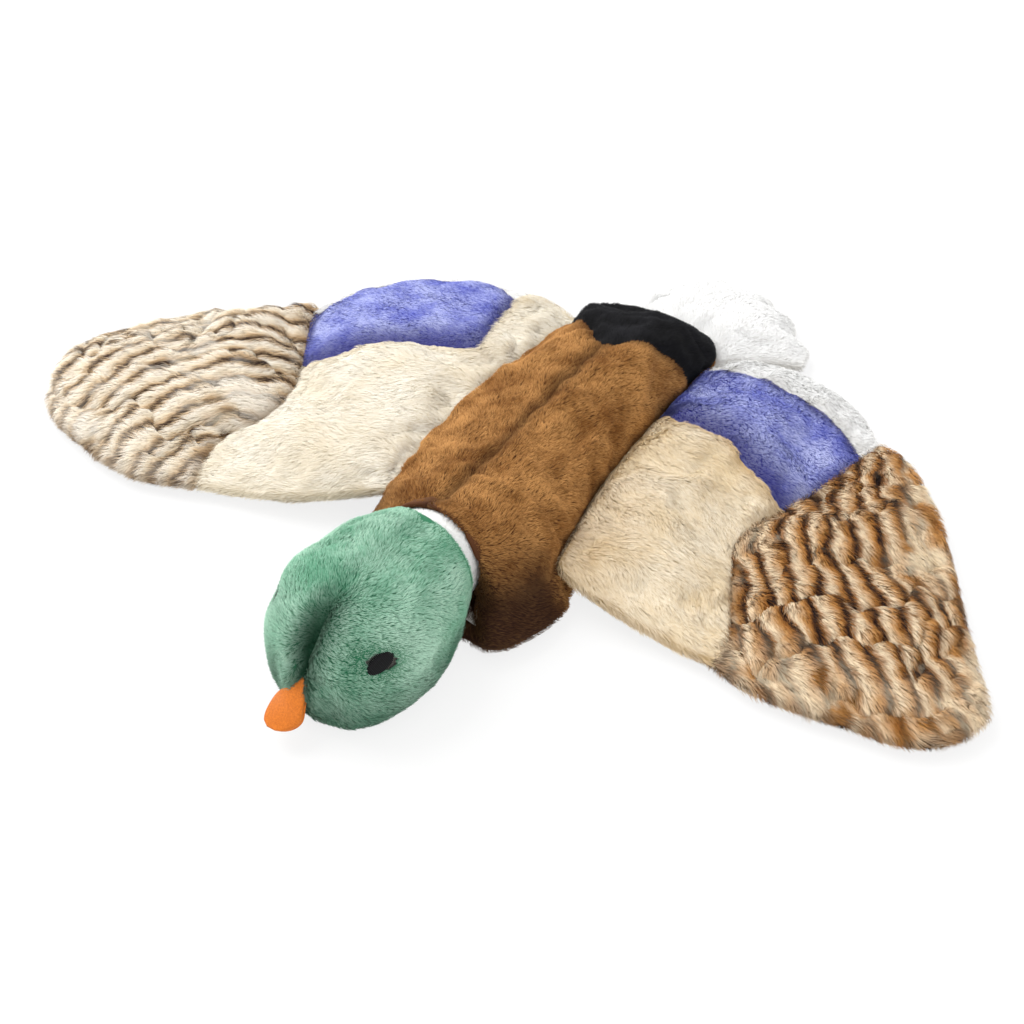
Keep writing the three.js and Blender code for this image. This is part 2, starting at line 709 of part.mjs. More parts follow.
function makeTail() {
  const place = ([out, back]) => new THREE.Vector2(out * tailSpread, tailBaseY + back * tailReach);
  const edge = even(fanSteps).map((share) => {
    const x = bodyRear.lean + (2 * share - 1) * tailBaseHalfWidth;
    return new THREE.Vector2(x, rearY(x));
  });
  const base = insetOutline([...edge, new THREE.Vector2(bodyRear.lean, bodyFrontY)], hingeGap);
  base.pop();
  const rear = tailRearShares.map(place);
  const fan = curveOf(rear);
  const scalloped = even(fanSteps * fringeSteps).map((share) => {
    const point = fan.getPointAt(share);
    const away = fan.getTangentAt(share);
    const cut = scallopDepth * (1 - Math.abs(Math.sin(Math.PI * scallopCount * share)));
    const ends = Math.min(1, share * fanSteps, (1 - share) * fanSteps);
    return point.add(new THREE.Vector2(away.y, -away.x).multiplyScalar(cut * ends));
  });
  const fringe = { getPointAt: (t) => scalloped[Math.round(t * fanSteps * fringeSteps)].clone() };
  const patch = {
    front: curveOf([base[0], ...tailSideLeftShares.map(place), rear[0]]),
    rear: curveOf([base[base.length - 1], ...tailSideRightShares.map(place), rear[rear.length - 1]]),
    inner: curveOf(base),
    outer: fringe,
    turned: true,
  };
  const parts = layers(patch, {
    mid: () => tailMidZ,
    crown: tailCrown,
    keel: tailKeel,
    rootPower: tailEndPower,
    endPower: tailEndPower,
  }, { s: eased(tailSteps), t: even(fanSteps) });
  const group = new THREE.Group();
  group.add(
    panel('tail_top_panel', parts.top, colours.white),
    panel('tail_under_panel', parts.under, colours.white),
    panel('tail_wadding', parts.fill, colours.wadding),
  );
  return group;
}

const duck = new THREE.Group();
duck.name = 'plush_duck';
duck.add(makeBody());

const neck = new THREE.Group();
neck.position.copy(neckPivot);
neck.add(...makeCollar(), makeHead());
duck.add(neck);

duck.add(makeWing(1, leftWingShares, leftWingReach));
duck.add(makeWing(-1, rightWingShares, rightWingReach));
duck.add(makeTail());

export default duck;
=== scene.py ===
"""A plush duck lying flat with its wings spread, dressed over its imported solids.

Sizes here are in millimetres, and turn to metres where a mesh is made. +Z is up, the
bill points to -Y, the tail to +Y, and the duck's left wing is on +X.
"""

from __future__ import annotations

import logging
import math
from dataclasses import dataclass, field
from enum import Enum
from functools import partial
from typing import Any, Callable, Optional, Sequence

import bpy
import numpy as np
from mathutils import Euler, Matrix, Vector
from mathutils.kdtree import KDTree


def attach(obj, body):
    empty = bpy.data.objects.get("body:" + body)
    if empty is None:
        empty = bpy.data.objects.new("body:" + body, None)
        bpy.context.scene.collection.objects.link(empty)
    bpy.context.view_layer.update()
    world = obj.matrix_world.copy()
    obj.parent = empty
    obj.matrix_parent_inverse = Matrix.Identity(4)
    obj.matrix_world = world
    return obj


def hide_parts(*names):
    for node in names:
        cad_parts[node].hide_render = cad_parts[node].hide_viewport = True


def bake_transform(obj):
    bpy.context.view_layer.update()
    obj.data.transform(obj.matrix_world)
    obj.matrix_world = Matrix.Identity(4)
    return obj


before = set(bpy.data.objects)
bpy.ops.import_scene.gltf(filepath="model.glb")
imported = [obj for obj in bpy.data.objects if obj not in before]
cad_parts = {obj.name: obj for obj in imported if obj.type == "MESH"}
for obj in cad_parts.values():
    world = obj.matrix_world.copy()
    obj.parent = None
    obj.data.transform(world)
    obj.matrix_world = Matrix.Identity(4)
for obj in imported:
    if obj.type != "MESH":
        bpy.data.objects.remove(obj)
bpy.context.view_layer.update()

LOG = logging.getLogger("plush_duck")
MM = 0.001
Array = np.ndarray
AddNode = Callable[..., Any]
Plan = tuple[float, float]
Pair = tuple[float, float]
Point = tuple[float, float, float]


# Colours and nodes


def linear(value: str) -> tuple[float, float, float, float]:
    """Turns an sRGB hex colour to linear.

    Args:
        value: The colour as six hex digits after a hash.

    Returns:
        Red, green, blue and alpha, linear.
    """
    parts = [int(value[i : i + 2], 16) / 255 for i in (1, 3, 5)]
    curved = [p / 12.92 if p <= 0.04045 else ((p + 0.055) / 1.055) ** 2.4 for p in parts]
    return (*curved, 1.0)


def add_node(
    tree: bpy.types.NodeTree,
    kind: str,
    inputs: Any = (),
    output: Any = 0,
    stops: Sequence[tuple[float, str]] = (),
    **settings: Any,
) -> Optional[bpy.types.NodeSocket]:
    """Adds one node, with its settings, socket values and links.

    Args:
        tree: The node tree.
        kind: Blender's node type, without the ShaderNode that it starts with.
        inputs: Values, or the sockets that feed them, in order or by name or index.
        output: The name or index of the output that is given back.
        stops: A colour ramp's places from 0 to 1 and their hex colours.
        **settings: The node's own properties.

    Returns:
        The output, or None where the node has none.
    """
    made = tree.nodes.new("ShaderNode" + kind)
    for name, value in settings.items():
        setattr(made, name, value)
    for key, value in inputs.items() if isinstance(inputs, dict) else enumerate(inputs):
        if isinstance(value, bpy.types.NodeSocket):
            tree.links.new(value, made.inputs[key])
        else:
            made.inputs[key].default_value = value
    if stops:
        elements = made.color_ramp.elements
        while len(elements) < len(stops):
            elements.new(0.5)
        for element, (place, colour) in zip(elements, stops):
            element.position, element.color = place, linear(colour)
    return made.outputs[output] if made.outputs else None


def new_material(name: str) -> tuple[bpy.types.Material, AddNode]:
    """Makes an empty node material.

    Args:
        name: The material's name.

    Returns:
        The material, and what adds its nodes.
    """
    material = bpy.data.materials.new(name)
    material.use_nodes = True
    material.node_tree.nodes.clear()
    return material, partial(add_node, material.node_tree)


def end_material(
    node: AddNode, colour: Any, relief: Any, strength: float, high_mm: float, look: dict[str, Any]
) -> None:
    """Ends a material with its surface and its bump.

    Args:
        node: Adds a node to the material.
        colour: The surface's colour.
        relief: What the bump reads.
        strength: How strongly the bump shows.
        high_mm: How high the bump stands.
        look: The surface's other values.
    """
    bump = node("Bump", {"Height": relief, "Strength": strength, "Distance": high_mm * MM})
    surface = node("BsdfPrincipled", {"Base Color": colour, "Normal": bump, **look})
    node("OutputMaterial", {"Surface": surface})


# Finishes


@dataclass(frozen=True)
class Stripes:
    """Thin dark wavy lines across a long pile, as arcs about a point, broken into lobes.

    Each line comes up sharply, dark, then fades through tan to cream. The lines are the
    fur's own pattern, but their dark side also holds painted shade and their cream a
    painted highlight, as on puffed lobes. The lobes shift against each other at the
    creases, painted shade darkens some creases, and the lines fade out in patches.
    """

    centre: Point
    line: float
    dark: str
    tan: str
    cream: str
    pale: str
    pitch_mm: float = 13.0
    wave_mm: float = 8.0
    wave_size_mm: float = 28.5714
    lobe_jump: float = 0.6
    fray: float = 0.08
    start: float = 0.06
    crease_size_mm: float = 22.2222
    ground_size_mm: float = 20.0
    patch_size_mm: float = 38.4615
    patch_share: float = 0.8

    def colour(self, node: AddNode, place: Any, chance: Any, fade: Any) -> Any:
        """Adds the lines' colour.

        Args:
            node: Adds a node to the material.
            place: Each fibre's root, in millimetres.
            chance: A number for each fibre.
            fade: Where the lines fade out at the wing's edge.

        Returns:
            The colour socket.
        """
        crease = node("Attribute", output="Fac", attribute_name="crease")
        wave, shaded_crease_noise, mottle, bare = (
            node("TexNoise", {"Vector": place, "Scale": 1 / size, "Detail": detail}, output)
            for size, detail, output in (
                (self.wave_size_mm, 2.0, "Color"),
                (self.crease_size_mm, 1.0, "Fac"),
                (self.ground_size_mm, 2.0, "Fac"),
                (self.patch_size_mm, 3.0, "Fac"),
            )
        )
        wide = (2 * self.wave_mm,) * 3
        shifted = node("VectorMath", (wave, wide, place), operation="MULTIPLY_ADD")
        far = node("VectorMath", (shifted, self.centre), "Value", operation="DISTANCE")
        turns = node("Math", (far, 1 / self.pitch_mm), operation="MULTIPLY")
        lobe = node("Math", (crease,), operation="FLOOR")
        jump = node("TexWhiteNoise", {"W": lobe}, "Value", noise_dimensions="1D")
        moved = node("Math", (jump, self.lobe_jump, turns), operation="MULTIPLY_ADD")
        frayed = node("Math", (chance, self.fray, moved), operation="MULTIPLY_ADD")
        phase = node("Math", (frayed,), operation="FRACT")
        # The dark line is the fur's pattern; the run from it through tan to cream also paints shade
        # on each lobe's shadow side and a highlight on its crest.
        stops = [
            (0.0, self.tan),
            (self.start, self.dark),
            (self.start + 0.16 * self.line, self.dark),
            (self.start + 0.34 * self.line, self.tan),
            (self.start + 0.62 * self.line, self.cream),
            (0.82, self.pale),
            (1.0, self.tan),
        ]
        band = node("ValToRGB", (phase,), stops=stops)
        # Painted shade: a dark line along some of the creases between the lobes, as the shadow in
        # the crease.
        past = node("Math", (crease, 0.5), operation="ADD")
        between = node("Math", (past,), operation="FRACT")
        middle = node("Math", (between, 0.5), operation="SUBTRACT")
        edge = node("Math", (middle,), operation="ABSOLUTE")
        near = {"Value": edge, "From Min": 0.02, "From Max": 0.10, "To Min": 0.85, "To Max": 0.0}
        some = {"Value": shaded_crease_noise, "From Min": 0.46, "From Max": 0.58}
        near, some = node("MapRange", near), node("MapRange", some)
        outline = node("Math", (near, some), operation="MULTIPLY")
        band = node("Mix", {"Factor": outline, 6: band, 7: linear(self.dark)}, 2, data_type="RGBA")
        stops = [(0.28, self.tan), (0.40, self.cream), (0.52, self.pale)]
        ground = node("ValToRGB", (mottle,), stops=stops)
        patches = node("MapRange", {"Value": bare, "From Min": 0.52, "From Max": 0.66})
        patches = node("Math", (patches, self.patch_share), operation="MULTIPLY")
        out = node("Math", (patches, fade), operation="MAXIMUM")
        return node("Mix", {"Factor": out, 6: band, 7: ground}, 2, data_type="RGBA")


@dataclass(frozen=True)
class PileCloth:
    """Knitted polyester cloth with a sheared or long pile of fine straight fibres.

    Each fibre is painted dark at its root, as the shade that falls between fibres, and
    light at its tip. The shade colour is painted in along seams, in folds and in shaded
    hollows, and on the head the tip colour is painted in as a highlight. The cloth has a
    soft sheen, and patches where the pile is brushed one way or the other.
    """

    name: str
    slot: str
    root: str
    middle: str
    tip: str
    shade: str
    patch_mm: float = 22.0
    shade_share: float = 0.6
    sheen: float = 0.25
    roughness: float = 0.85
    knit_mm: float = 0.714286
    knit_high_mm: float = 0.5
    stripes: Optional[Stripes] = None

    def material(self) -> bpy.types.Material:
        """Builds the cloth's material.

        Returns:
            The material.
        """
        material, node = new_material(self.name)
        place = node("Attribute", output="Vector", attribute_name="root_mm")
        along, chance, seam, fade = (
            node("Attribute", output="Fac", attribute_name=name)
            for name in ("along", "chance", "seam", "fade")
        )
        colours = {"output": 2, "data_type": "RGBA"}
        if self.stripes:
            tip = self.stripes.colour(node, place, chance, fade)
            # Painted shade: the stripes' colour, multiplied towards the root colour, gives the
            # fibres' roots the shade that falls between fibres.
            root_shaded = {"Factor": 0.4, 6: tip, 7: linear(self.root)}
            dark = node("Mix", root_shaded, blend_type="MULTIPLY", **colours)
        else:
            brushed = {"Scale": 1 / self.patch_mm, "Detail": 3.0, "Roughness": 0.6}
            brushed = node("TexNoise", {"Vector": place, **brushed})
            lot = node("Math", (chance, 0.22, brushed), operation="MULTIPLY_ADD")
            stops = [(0.42, self.middle), (0.76, self.tip), (1.0, self.tip)]
            tip, dark = node("ValToRGB", (lot,), stops=stops), linear(self.root)
        # Painted shade: each fibre runs from the dark root colour, the shade between fibres, to its
        # tip colour.
        rise = {"Value": along, "From Min": 0.0, "From Max": 0.65}
        past_root_shade = node("MapRange", rise, interpolation_type="SMOOTHSTEP")
        body = node("Mix", {"Factor": past_root_shade, 6: dark, 7: tip}, **colours)
        # Painted highlight: on the head the fade value lightens the far lobe and the cheek towards
        # the tip colour.
        if not self.stripes:
            body = node("Mix", {"Factor": fade, 6: body, 7: linear(self.tip)}, **colours)
        # Painted shade: the seam value mixes in the shade colour along seams, in folds and in
        # shaded hollows.
        deep = node("Math", (seam, self.shade_share), operation="MULTIPLY")
        colour = node("Mix", {"Factor": deep, 6: body, 7: linear(self.shade)}, **colours)
        knit = node("TexNoise", {"Vector": place, "Scale": 1 / self.knit_mm, "Detail": 2.0})
        look = {
            "Roughness": self.roughness,
            "Specular IOR Level": 0.25,
            "Sheen Weight": self.sheen,
            "Sheen Roughness": 0.4,
            "Sheen Tint": linear(self.tip),
        }
        end_material(node, colour, knit, 0.3, self.knit_high_mm, look)
        return material


@dataclass(frozen=True)
class Mottled:
    """Stuff with a mottle between two colours, which also gives its relief."""

    name: str
    slot: str
    dark: str
    light: str
    grain_mm: float
    detail: float
    ragged: float
    stops: Pair
    bump: float
    high_mm: float
    roughness: float
    sheen: float = 0.0
    gloss: float = 0.5

    def material(self) -> bpy.types.Material:
        """Builds the material.

        Returns:
            The material.
        """
        material, node = new_material(self.name)
        place = node("Attribute", output="Vector", attribute_name="root_mm")
        grain = {"Scale": 1 / self.grain_mm, "Detail": self.detail, "Roughness": self.ragged}
        grain = node("TexNoise", {"Vector": place, **grain})
        stops = list(zip(self.stops, (self.dark, self.light)))
        colour = node("ValToRGB", (grain,), stops=stops)
        look = {"Roughness": self.roughness, "Sheen Weight": self.sheen}
        look["Specular IOR Level"] = self.gloss
        end_material(node, colour, grain, self.bump, self.high_mm, look)
        return material


@dataclass(frozen=True)
class Felt(Mottled):
    """Needled polyester felt: matt, with short matted fibres and a faint mottle."""

    grain_mm: float = 0.909091
    detail: float = 5.0
    ragged: float = 0.7
    stops: Pair = (0.35, 0.62)
    bump: float = 0.6
    high_mm: float = 0.4
    roughness: float = 0.95
    sheen: float = 0.2


@dataclass(frozen=True)
class Thread(Mottled):
    """Satin-stitched rayon thread: dark, with a faint lengthwise gloss on each stitch."""

    grain_mm: float = 0.4
    detail: float = 2.0
    ragged: float = 0.5
    stops: Pair = (0.3, 0.8)
    bump: float = 0.4
    high_mm: float = 0.3
    roughness: float = 0.6
    gloss: float = 0.2


@dataclass(frozen=True)
class Filling(Mottled):
    """Loose crimped polyester fibre: white, matt and cloudy."""

    grain_mm: float = 4.0
    detail: float = 6.0
    ragged: float = 0.7
    stops: Pair = (0.35, 0.6)
    bump: float = 0.8
    high_mm: float = 2.0
    roughness: float = 1.0


class Finish(Enum):
    """The duck's cloths, trims and filling."""

    # Short pile, brushed both ways: warm tan and brown patches, with painted shade, nearly
    # black, in the seams and low on the breast.
    BROWN = PileCloth(
        "polyester_pile_brown", "brown_pile", "#4e2a12", "#80501f", "#cb9456", "#240c04",
        shade_share=0.75,
    )
    # Short pile that swallows the light, with only a grey bloom on its tips.
    BLACK = PileCloth(
        "polyester_pile_black", "black_pile", "#050507", "#0d0d0f", "#1f1f23", "#030304", sheen=0.1
    )
    # Short glossy pile with mint tips: painted highlights on the far lobe and the cheek,
    # and painted bottle green shade in the crease, the folds and low on the head.
    GREEN = PileCloth(
        "polyester_pile_green", "green_pile", "#327a56", "#6aa888", "#b9dfc8", "#053c24",
        patch_mm=30.0, shade_share=0.9, sheen=0.35,
    )
    # Soft pile, white to its roots, so that its shadows draw it, with a faint painted grey
    # shade at its seams.
    WHITE = PileCloth(
        "polyester_pile_white", "white_pile", "#f4f3f0", "#f9f9f8", "#fdfdfc", "#e6e4e0", sheen=0.1
    )
    # Longer pile, cream on top, with painted tan shade at its roots where it parts, at its
    # seams and, on the near wing, towards the body.
    CREAM = PileCloth(
        "polyester_pile_cream", "cream_pile", "#e0c99e", "#eed9b2", "#fbf0da", "#c19c63",
        patch_mm=34.0,
    )
    # The same cloth on the far wing, painted paler as a lit copy, where the light falls on it.
    CREAM_LIT = PileCloth(
        "polyester_pile_cream_lit", "cream_pile", "#e6dabf", "#f2e8d3", "#fbf6ea", "#d9c59d",
        patch_mm=34.0, shade_share=0.45,
    )
    # Short glossy pile: violet blue, pale where brushed up, with painted dark shade along its
    # front seam.
    BLUE = PileCloth(
        "polyester_pile_blue", "blue_pile", "#3c42b6", "#6f79d4", "#c6cdf8", "#2a2474",
        shade_share=0.8,
    )
    # Long faux fur, tan with narrow dark lines that break at each lock.
    NEAR_STRIPES = PileCloth(
        "faux_fur_striped_tan", "striped_pile", "#8a5c30", "#c8965a", "#f0dab4", "#6b4526",
        stripes=Stripes((560.0, 300.0, 10.0), 0.62, "#1c0c0c", "#a2662a", "#cc9656", "#fcebcb"),
    )
    # The same fur on the far wing, painted paler as a lit copy, with softer lines.
    STRIPES_LIT = PileCloth(
        "faux_fur_striped_lit", "striped_pile", "#c4ae8a", "#dcc298", "#f6ebd4", "#8a6a46",
        stripes=Stripes((-108.0, -92.0, 10.0), 0.68, "#38261f", "#d2b288", "#f1e3ca", "#fcf6ea"),
    )
    FELT = Felt("needled_felt_orange", "orange_felt", "#ba600f", "#d4741a")
    THREAD = Thread("satin_stitch_thread_black", "black_thread", "#08080a", "#141416")
    FILLING = Filling("crimped_polyester_filling", "fibre_filling", "#e2ddd2", "#f6f4ee")


MATERIALS: dict[str, bpy.types.Material] = {}


def material_of(finish: Any) -> bpy.types.Material:
    """Gives a finish's material, made once.

    Args:
        finish: The finish.

    Returns:
        Its material.
    """
    if finish.name not in MATERIALS:
        MATERIALS[finish.name] = finish.material()
    return MATERIALS[finish.name]


# Curves, grids and surfaces


def cubic(values: Array, i: Array, w: Array, wrap: bool) -> Array:
    """Reads values smoothly between the rows of an array.

    Args:
        values: The rows.
        i: The row before each place.
        w: The share of the way to the next row, shaped to broadcast.
        wrap: Whether the last row meets the first.

    Returns:
        The values between the rows.
    """
    last = len(values) - 1

    def pick(step: int) -> Array:
        """Reads the rows some steps on."""
        return values[(i + step) % len(values) if wrap else np.clip(i + step, 0, last)]

    a, b, c, d = pick(-1), pick(0), pick(1), pick(2)
    return (
        b
        + 0.5 * w * (c - a)
        + w**2 * (a - 2.5 * b + 2 * c - 0.5 * d)
        + w**3 * (1.5 * b - 1.5 * c + 0.5 * d - 0.5 * a)
    )


def refined(rows: Array, factor: int, wrap: bool = False) -> Array:
    """Fills an array with smooth rows between its own.

    Args:
        rows: The rows, of two values or more each.
        factor: How many steps one step becomes.
        wrap: Whether the last row meets the first.

    Returns:
        The rows with those between them.
    """
    spans = len(rows) if wrap else len(rows) - 1
    t = np.arange(spans * factor + (0 if wrap else 1)) / factor
    i = np.minimum(t.astype(int), spans - 1)
    return cubic(rows, i, (t - i).reshape(-1, *[1] * (rows.ndim - 1)), wrap)


def finer(grid: Array, factor: int, wrap: bool) -> Array:
    """Fills a grid with smooth rows and columns between its own.

    Args:
        grid: Rows by columns by values.
        factor: How many steps one step becomes.
        wrap: Whether the columns close into a ring.

    Returns:
        The finer grid.
    """
    return refined(refined(grid, factor).swapaxes(0, 1), factor, wrap).swapaxes(0, 1)


@dataclass
class Curve:
    """A smooth plan curve: its points, and the share of its length at each."""

    samples: Array
    lengths: Array

    @classmethod
    def through(cls, *parts: Array) -> Curve:
        """Runs a curve through plan points.

        Args:
            *parts: Runs of points, in order.

        Returns:
            The curve.
        """
        points = np.concatenate(parts)
        count = len(points)
        t = np.linspace(0, count - 1, 60 * (count - 1) + 1)
        i = np.minimum(t.astype(int), count - 2)
        samples = cubic(points, i, (t - i)[:, None], False)
        steps = np.linalg.norm(np.diff(samples, axis=0), axis=1)
        return cls(samples, np.concatenate([[0], np.cumsum(steps)]) / steps.sum())

    def at(self, shares: Array) -> Array:
        """Reads the curve's points at shares of its length."""
        return np.stack([np.interp(shares, self.lengths, self.samples[:, k]) for k in (0, 1)], -1)


def eased(steps: int) -> Array:
    """Gives places from 0 to 1 that crowd towards both ends."""
    return (1 - np.cos(np.pi * np.arange(steps + 1) / steps)) / 2


def grid_shares(rows: int, columns: int) -> Array:
    """Gives each point of a grid its shares down and across, from 0 to 1."""
    down, across = np.linspace(0, 1, rows), np.linspace(0, 1, columns)
    return np.stack(np.meshgrid(down, across, indexing="ij"), -1).reshape(-1, 2)


def smooth(value: Array, low: float, high: float) -> Array:
    """Rises smoothly from 0 at low to 1 at high."""
    t = np.clip((value - low) / (high - low), 0, 1)
    return t * t * (3 - 2 * t)


def bell(value: Array, width: float | Array) -> Array:
    """Falls smoothly from 1 at nought on both sides."""
    return np.exp(-((value / width) ** 2))


def ripple(points: Array, scale: float, seed: int) -> Array:
    """A smooth noise of about -1 to 1, as a sum of slanted waves.

    Args:
        points: The points.
        scale: The waves' mean length.
        seed: Chooses the waves.

    Returns:
        The noise at each point.
    """
    source = np.random.default_rng(seed)
    total = np.zeros(points.shape[:-1])
    for _ in range(7):
        way = source.normal(size=points.shape[-1])
        way /= np.linalg.norm(way) * scale * source.uniform(0.6, 1.5)
        total += np.sin(2 * np.pi * (points @ way) + source.uniform(0, 2 * np.pi))
    return total / 3.0


def unit(vectors: Array) -> Array:
    """Scales vectors to length 1."""
    return vectors / np.maximum(np.linalg.norm(vectors, axis=-1, keepdims=True), 1e-9)


def vertex_normals(place: Array, faces: Array) -> Array:
    """Finds the smooth normals of some triangles.

    Args:
        place: The vertices.
        faces: The triangles.

    Returns:
        A unit normal for each vertex.
    """
    a, b, c = (place[faces[:, k]] for k in range(3))
    flat = np.cross(b - a, c - a)
    total = np.zeros_like(place)
    for k in range(3):
        np.add.at(total, faces[:, k], flat)
    return unit(total)


def grid_faces(rows: int, columns: int, wrap: bool) -> Array:
    """Lists the triangles of a grid.

    Args:
        rows: Rows of points.
        columns: Columns of points.
        wrap: Whether the columns close into a ring.

    Returns:
        The triangles, with the first row to the second as the second direction.
    """
    last = columns if wrap else columns - 1
    r, c = np.meshgrid(np.arange(rows - 1), np.arange(last), indexing="ij")
    a, b = (r * columns + c).ravel(), (r * columns + (c + 1) % columns).ravel()
    halves = [np.stack([a, a + columns, b + columns], 1), np.stack([a, b + columns, b], 1)]
    return np.concatenate(halves)


@dataclass
class Surface:
    """Triangles with named values at their vertices: place, rest, and what else is needed."""

    values: dict[str, Array]
    faces: Array

    @property
    def place(self) -> Array:
        """The vertices."""
        return self.values["place"]

    def keep(self, faces: Array) -> Surface:
        """Makes a surface of some triangles, with only their vertices.

        Args:
            faces: The triangles.

        Returns:
            The surface.
        """
        used, packed = np.unique(faces, return_inverse=True)
        values = {name: value[used] for name, value in self.values.items()}
        return Surface(values, packed.reshape(-1, 3))

    def split(self, side: Array) -> tuple[Surface, Surface]:
        """Cuts the surface along the line where a value is nought.

        Args:
            side: The value at each vertex.

        Returns:
            The surface where the value is above nought, and the rest.
        """
        side = np.where(np.abs(side) < 1e-6, 1e-6, side)
        over = side[self.faces] > 0
        count = over.sum(1)
        mixed = (count == 1) | (count == 2)
        faces = self.faces[mixed]
        lone = np.where(count[mixed] == 1, over[mixed].argmax(1), (~over[mixed]).argmax(1))
        row = np.arange(len(faces))
        a, b, c = (faces[row, (lone + k) % 3] for k in range(3))
        edges = np.sort(np.concatenate([np.stack([a, b], 1), np.stack([a, c], 1)]), axis=1)
        edges, index = np.unique(edges, axis=0, return_inverse=True)
        index = index.reshape(-1) + len(self.place)
        ab, ac = index[: len(faces)], index[len(faces) :]
        share = side[edges[:, 0]] / (side[edges[:, 0]] - side[edges[:, 1]])
        values = {}
        for name, value in self.values.items():
            w = share.reshape((-1,) + (1,) * (value.ndim - 1))
            cut = value[edges[:, 0]] * (1 - w) + value[edges[:, 1]] * w
            values[name] = np.concatenate([value, cut])
        whole = Surface(values, self.faces)
        tips = np.stack([a, ab, ac], 1)
        rests = np.concatenate([np.stack([ab, b, c], 1), np.stack([ab, c, ac], 1)])
        up = side[a] > 0
        above = [self.faces[count == 3], tips[up], rests[np.tile(~up, 2)]]
        below = [self.faces[count == 0], tips[~up], rests[np.tile(up, 2)]]
        return whole.keep(np.concatenate(above)), whole.keep(np.concatenate(below))


def outline_side(points: Array, outline: Array) -> Array:
    """Measures how far plan points lie inside an outline.

    Args:
        points: Plan points.
        outline: The outline's corners in order.

    Returns:
        The distance to the outline, above nought inside it.
    """
    best = np.full(len(points), np.inf)
    inside = np.zeros(len(points), bool)
    for a, b in zip(outline, np.roll(outline, -1, axis=0)):
        way = b - a
        t = np.clip((points - a) @ way / max(way @ way, 1e-9), 0, 1)
        best = np.minimum(best, np.linalg.norm(points - a - t[:, None] * way, axis=1))
        crosses = (a[1] > points[:, 1]) != (b[1] > points[:, 1])
        slope = way[0] / (way[1] if abs(way[1]) > 1e-9 else 1e-9)
        inside ^= crosses & (points[:, 0] < a[0] + (points[:, 1] - a[1]) * slope)
    return np.where(inside, best, -best)


def thickened(surface: Surface, depth: float, floor: float = 0.1) -> tuple[Array, Array, Array]:
    """Gives a cloth its thickness, inwards, and closes its edge.

    Args:
        surface: The cloth's outer side, with its normals.
        depth: The thickness, in lengths of the normals.
        floor: The height under which no vertex goes.

    Returns:
        Vertices, triangles, and the outer vertex that each vertex stands for.
    """
    faces, count = surface.faces, len(surface.place)
    inner = surface.place - surface.values["normal"] * depth
    edges = np.concatenate([faces[:, [0, 1]], faces[:, [1, 2]], faces[:, [2, 0]]])
    key = np.sort(edges, axis=1)
    _, index, uses = np.unique(key, axis=0, return_index=True, return_counts=True)
    a, b = edges[index[uses == 1]].T
    walls = [np.stack([b, a, a + count], 1), np.stack([b, a + count, b + count], 1)]
    place = np.concatenate([surface.place, inner])
    place[:, 2] = np.maximum(place[:, 2], floor)
    faces = np.concatenate([faces, faces[:, ::-1] + count, *walls])
    return place, faces, np.tile(np.arange(count), 2)


# Pieces and what they hang on


def put(name: str, data: Any) -> bpy.types.Object:
    """Puts a new object in the scene.

    Args:
        name: The object's name.
        data: Its mesh, light or camera.

    Returns:
        The object.
    """
    piece = bpy.data.objects.new(name, data)
    bpy.context.scene.collection.objects.link(piece)
    return piece


def mesh_object(
    name: str,
    place: Array,
    faces: Array,
    finish: Any,
    values: dict[str, Array],
    uv: Array,
    normals: Optional[Array] = None,
) -> bpy.types.Object:
    """Makes a Blender object from arrays.

    Args:
        name: The piece's name.
        place: Vertices.
        faces: Triangles.
        finish: The finish whose material it wears.
        values: Numbers or vectors for each vertex, kept as attributes.
        uv: A texture place for each vertex.
        normals: Shading normals for each vertex, or None for the faces' own.

    Returns:
        The object.
    """
    mesh = bpy.data.meshes.new(name)
    mesh.vertices.add(len(place))
    mesh.vertices.foreach_set("co", (place * MM).astype(np.float32).ravel())
    mesh.loops.add(faces.size)
    mesh.loops.foreach_set("vertex_index", faces.astype(np.int32).ravel())
    mesh.polygons.add(len(faces))
    mesh.polygons.foreach_set("loop_start", np.arange(0, faces.size, 3, dtype=np.int32))
    mesh.update(calc_edges=True)
    for key, value in values.items():
        kind, reads = ("FLOAT_VECTOR", "vector") if value.ndim == 2 else ("FLOAT", "value")
        attribute = mesh.attributes.new(key, kind, "POINT")
        attribute.data.foreach_set(reads, value.astype(np.float32).ravel())
    layer = mesh.uv_layers.new(name="OFBake")
    layer.data.foreach_set("uv", uv[faces.ravel()].astype(np.float32).ravel())
    mesh.polygons.foreach_set("use_smooth", np.ones(len(faces), bool))
    if normals is not None:
        mesh.normals_split_custom_set_from_vertices(normals.astype(np.float32).tolist())
    mesh.materials.append(material_of(finish))
    return put(name, mesh)


@dataclass(frozen=True)
class Hold:
    """What a piece moves with: one body, or two with a line given between them."""

    body: str
    outer: Optional[str] = None
    start: Optional[Point] = None
    end: Optional[Point] = None

    def take(
        self, piece: bpy.types.Object, node: str = "", fill: Optional[float] = None
    ) -> None:
        """Fastens a piece to its body, or, held by two, bakes its place into its mesh, and hides
        the node that it stands for.

        Args:
            piece: The piece.
            node: The node that it stands for, if any.
            fill: How full it is, where it is stuffed; not used.
        """
        if self.outer is None:
            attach(piece, self.body)
        else:
            start, end = ([x * MM for x in point] for point in (self.start, self.end))
            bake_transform(piece)
            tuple(start)
            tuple(end)
        if node:
            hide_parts(node)
        LOG.info("%s: %d faces", piece.name, len(piece.data.polygons))


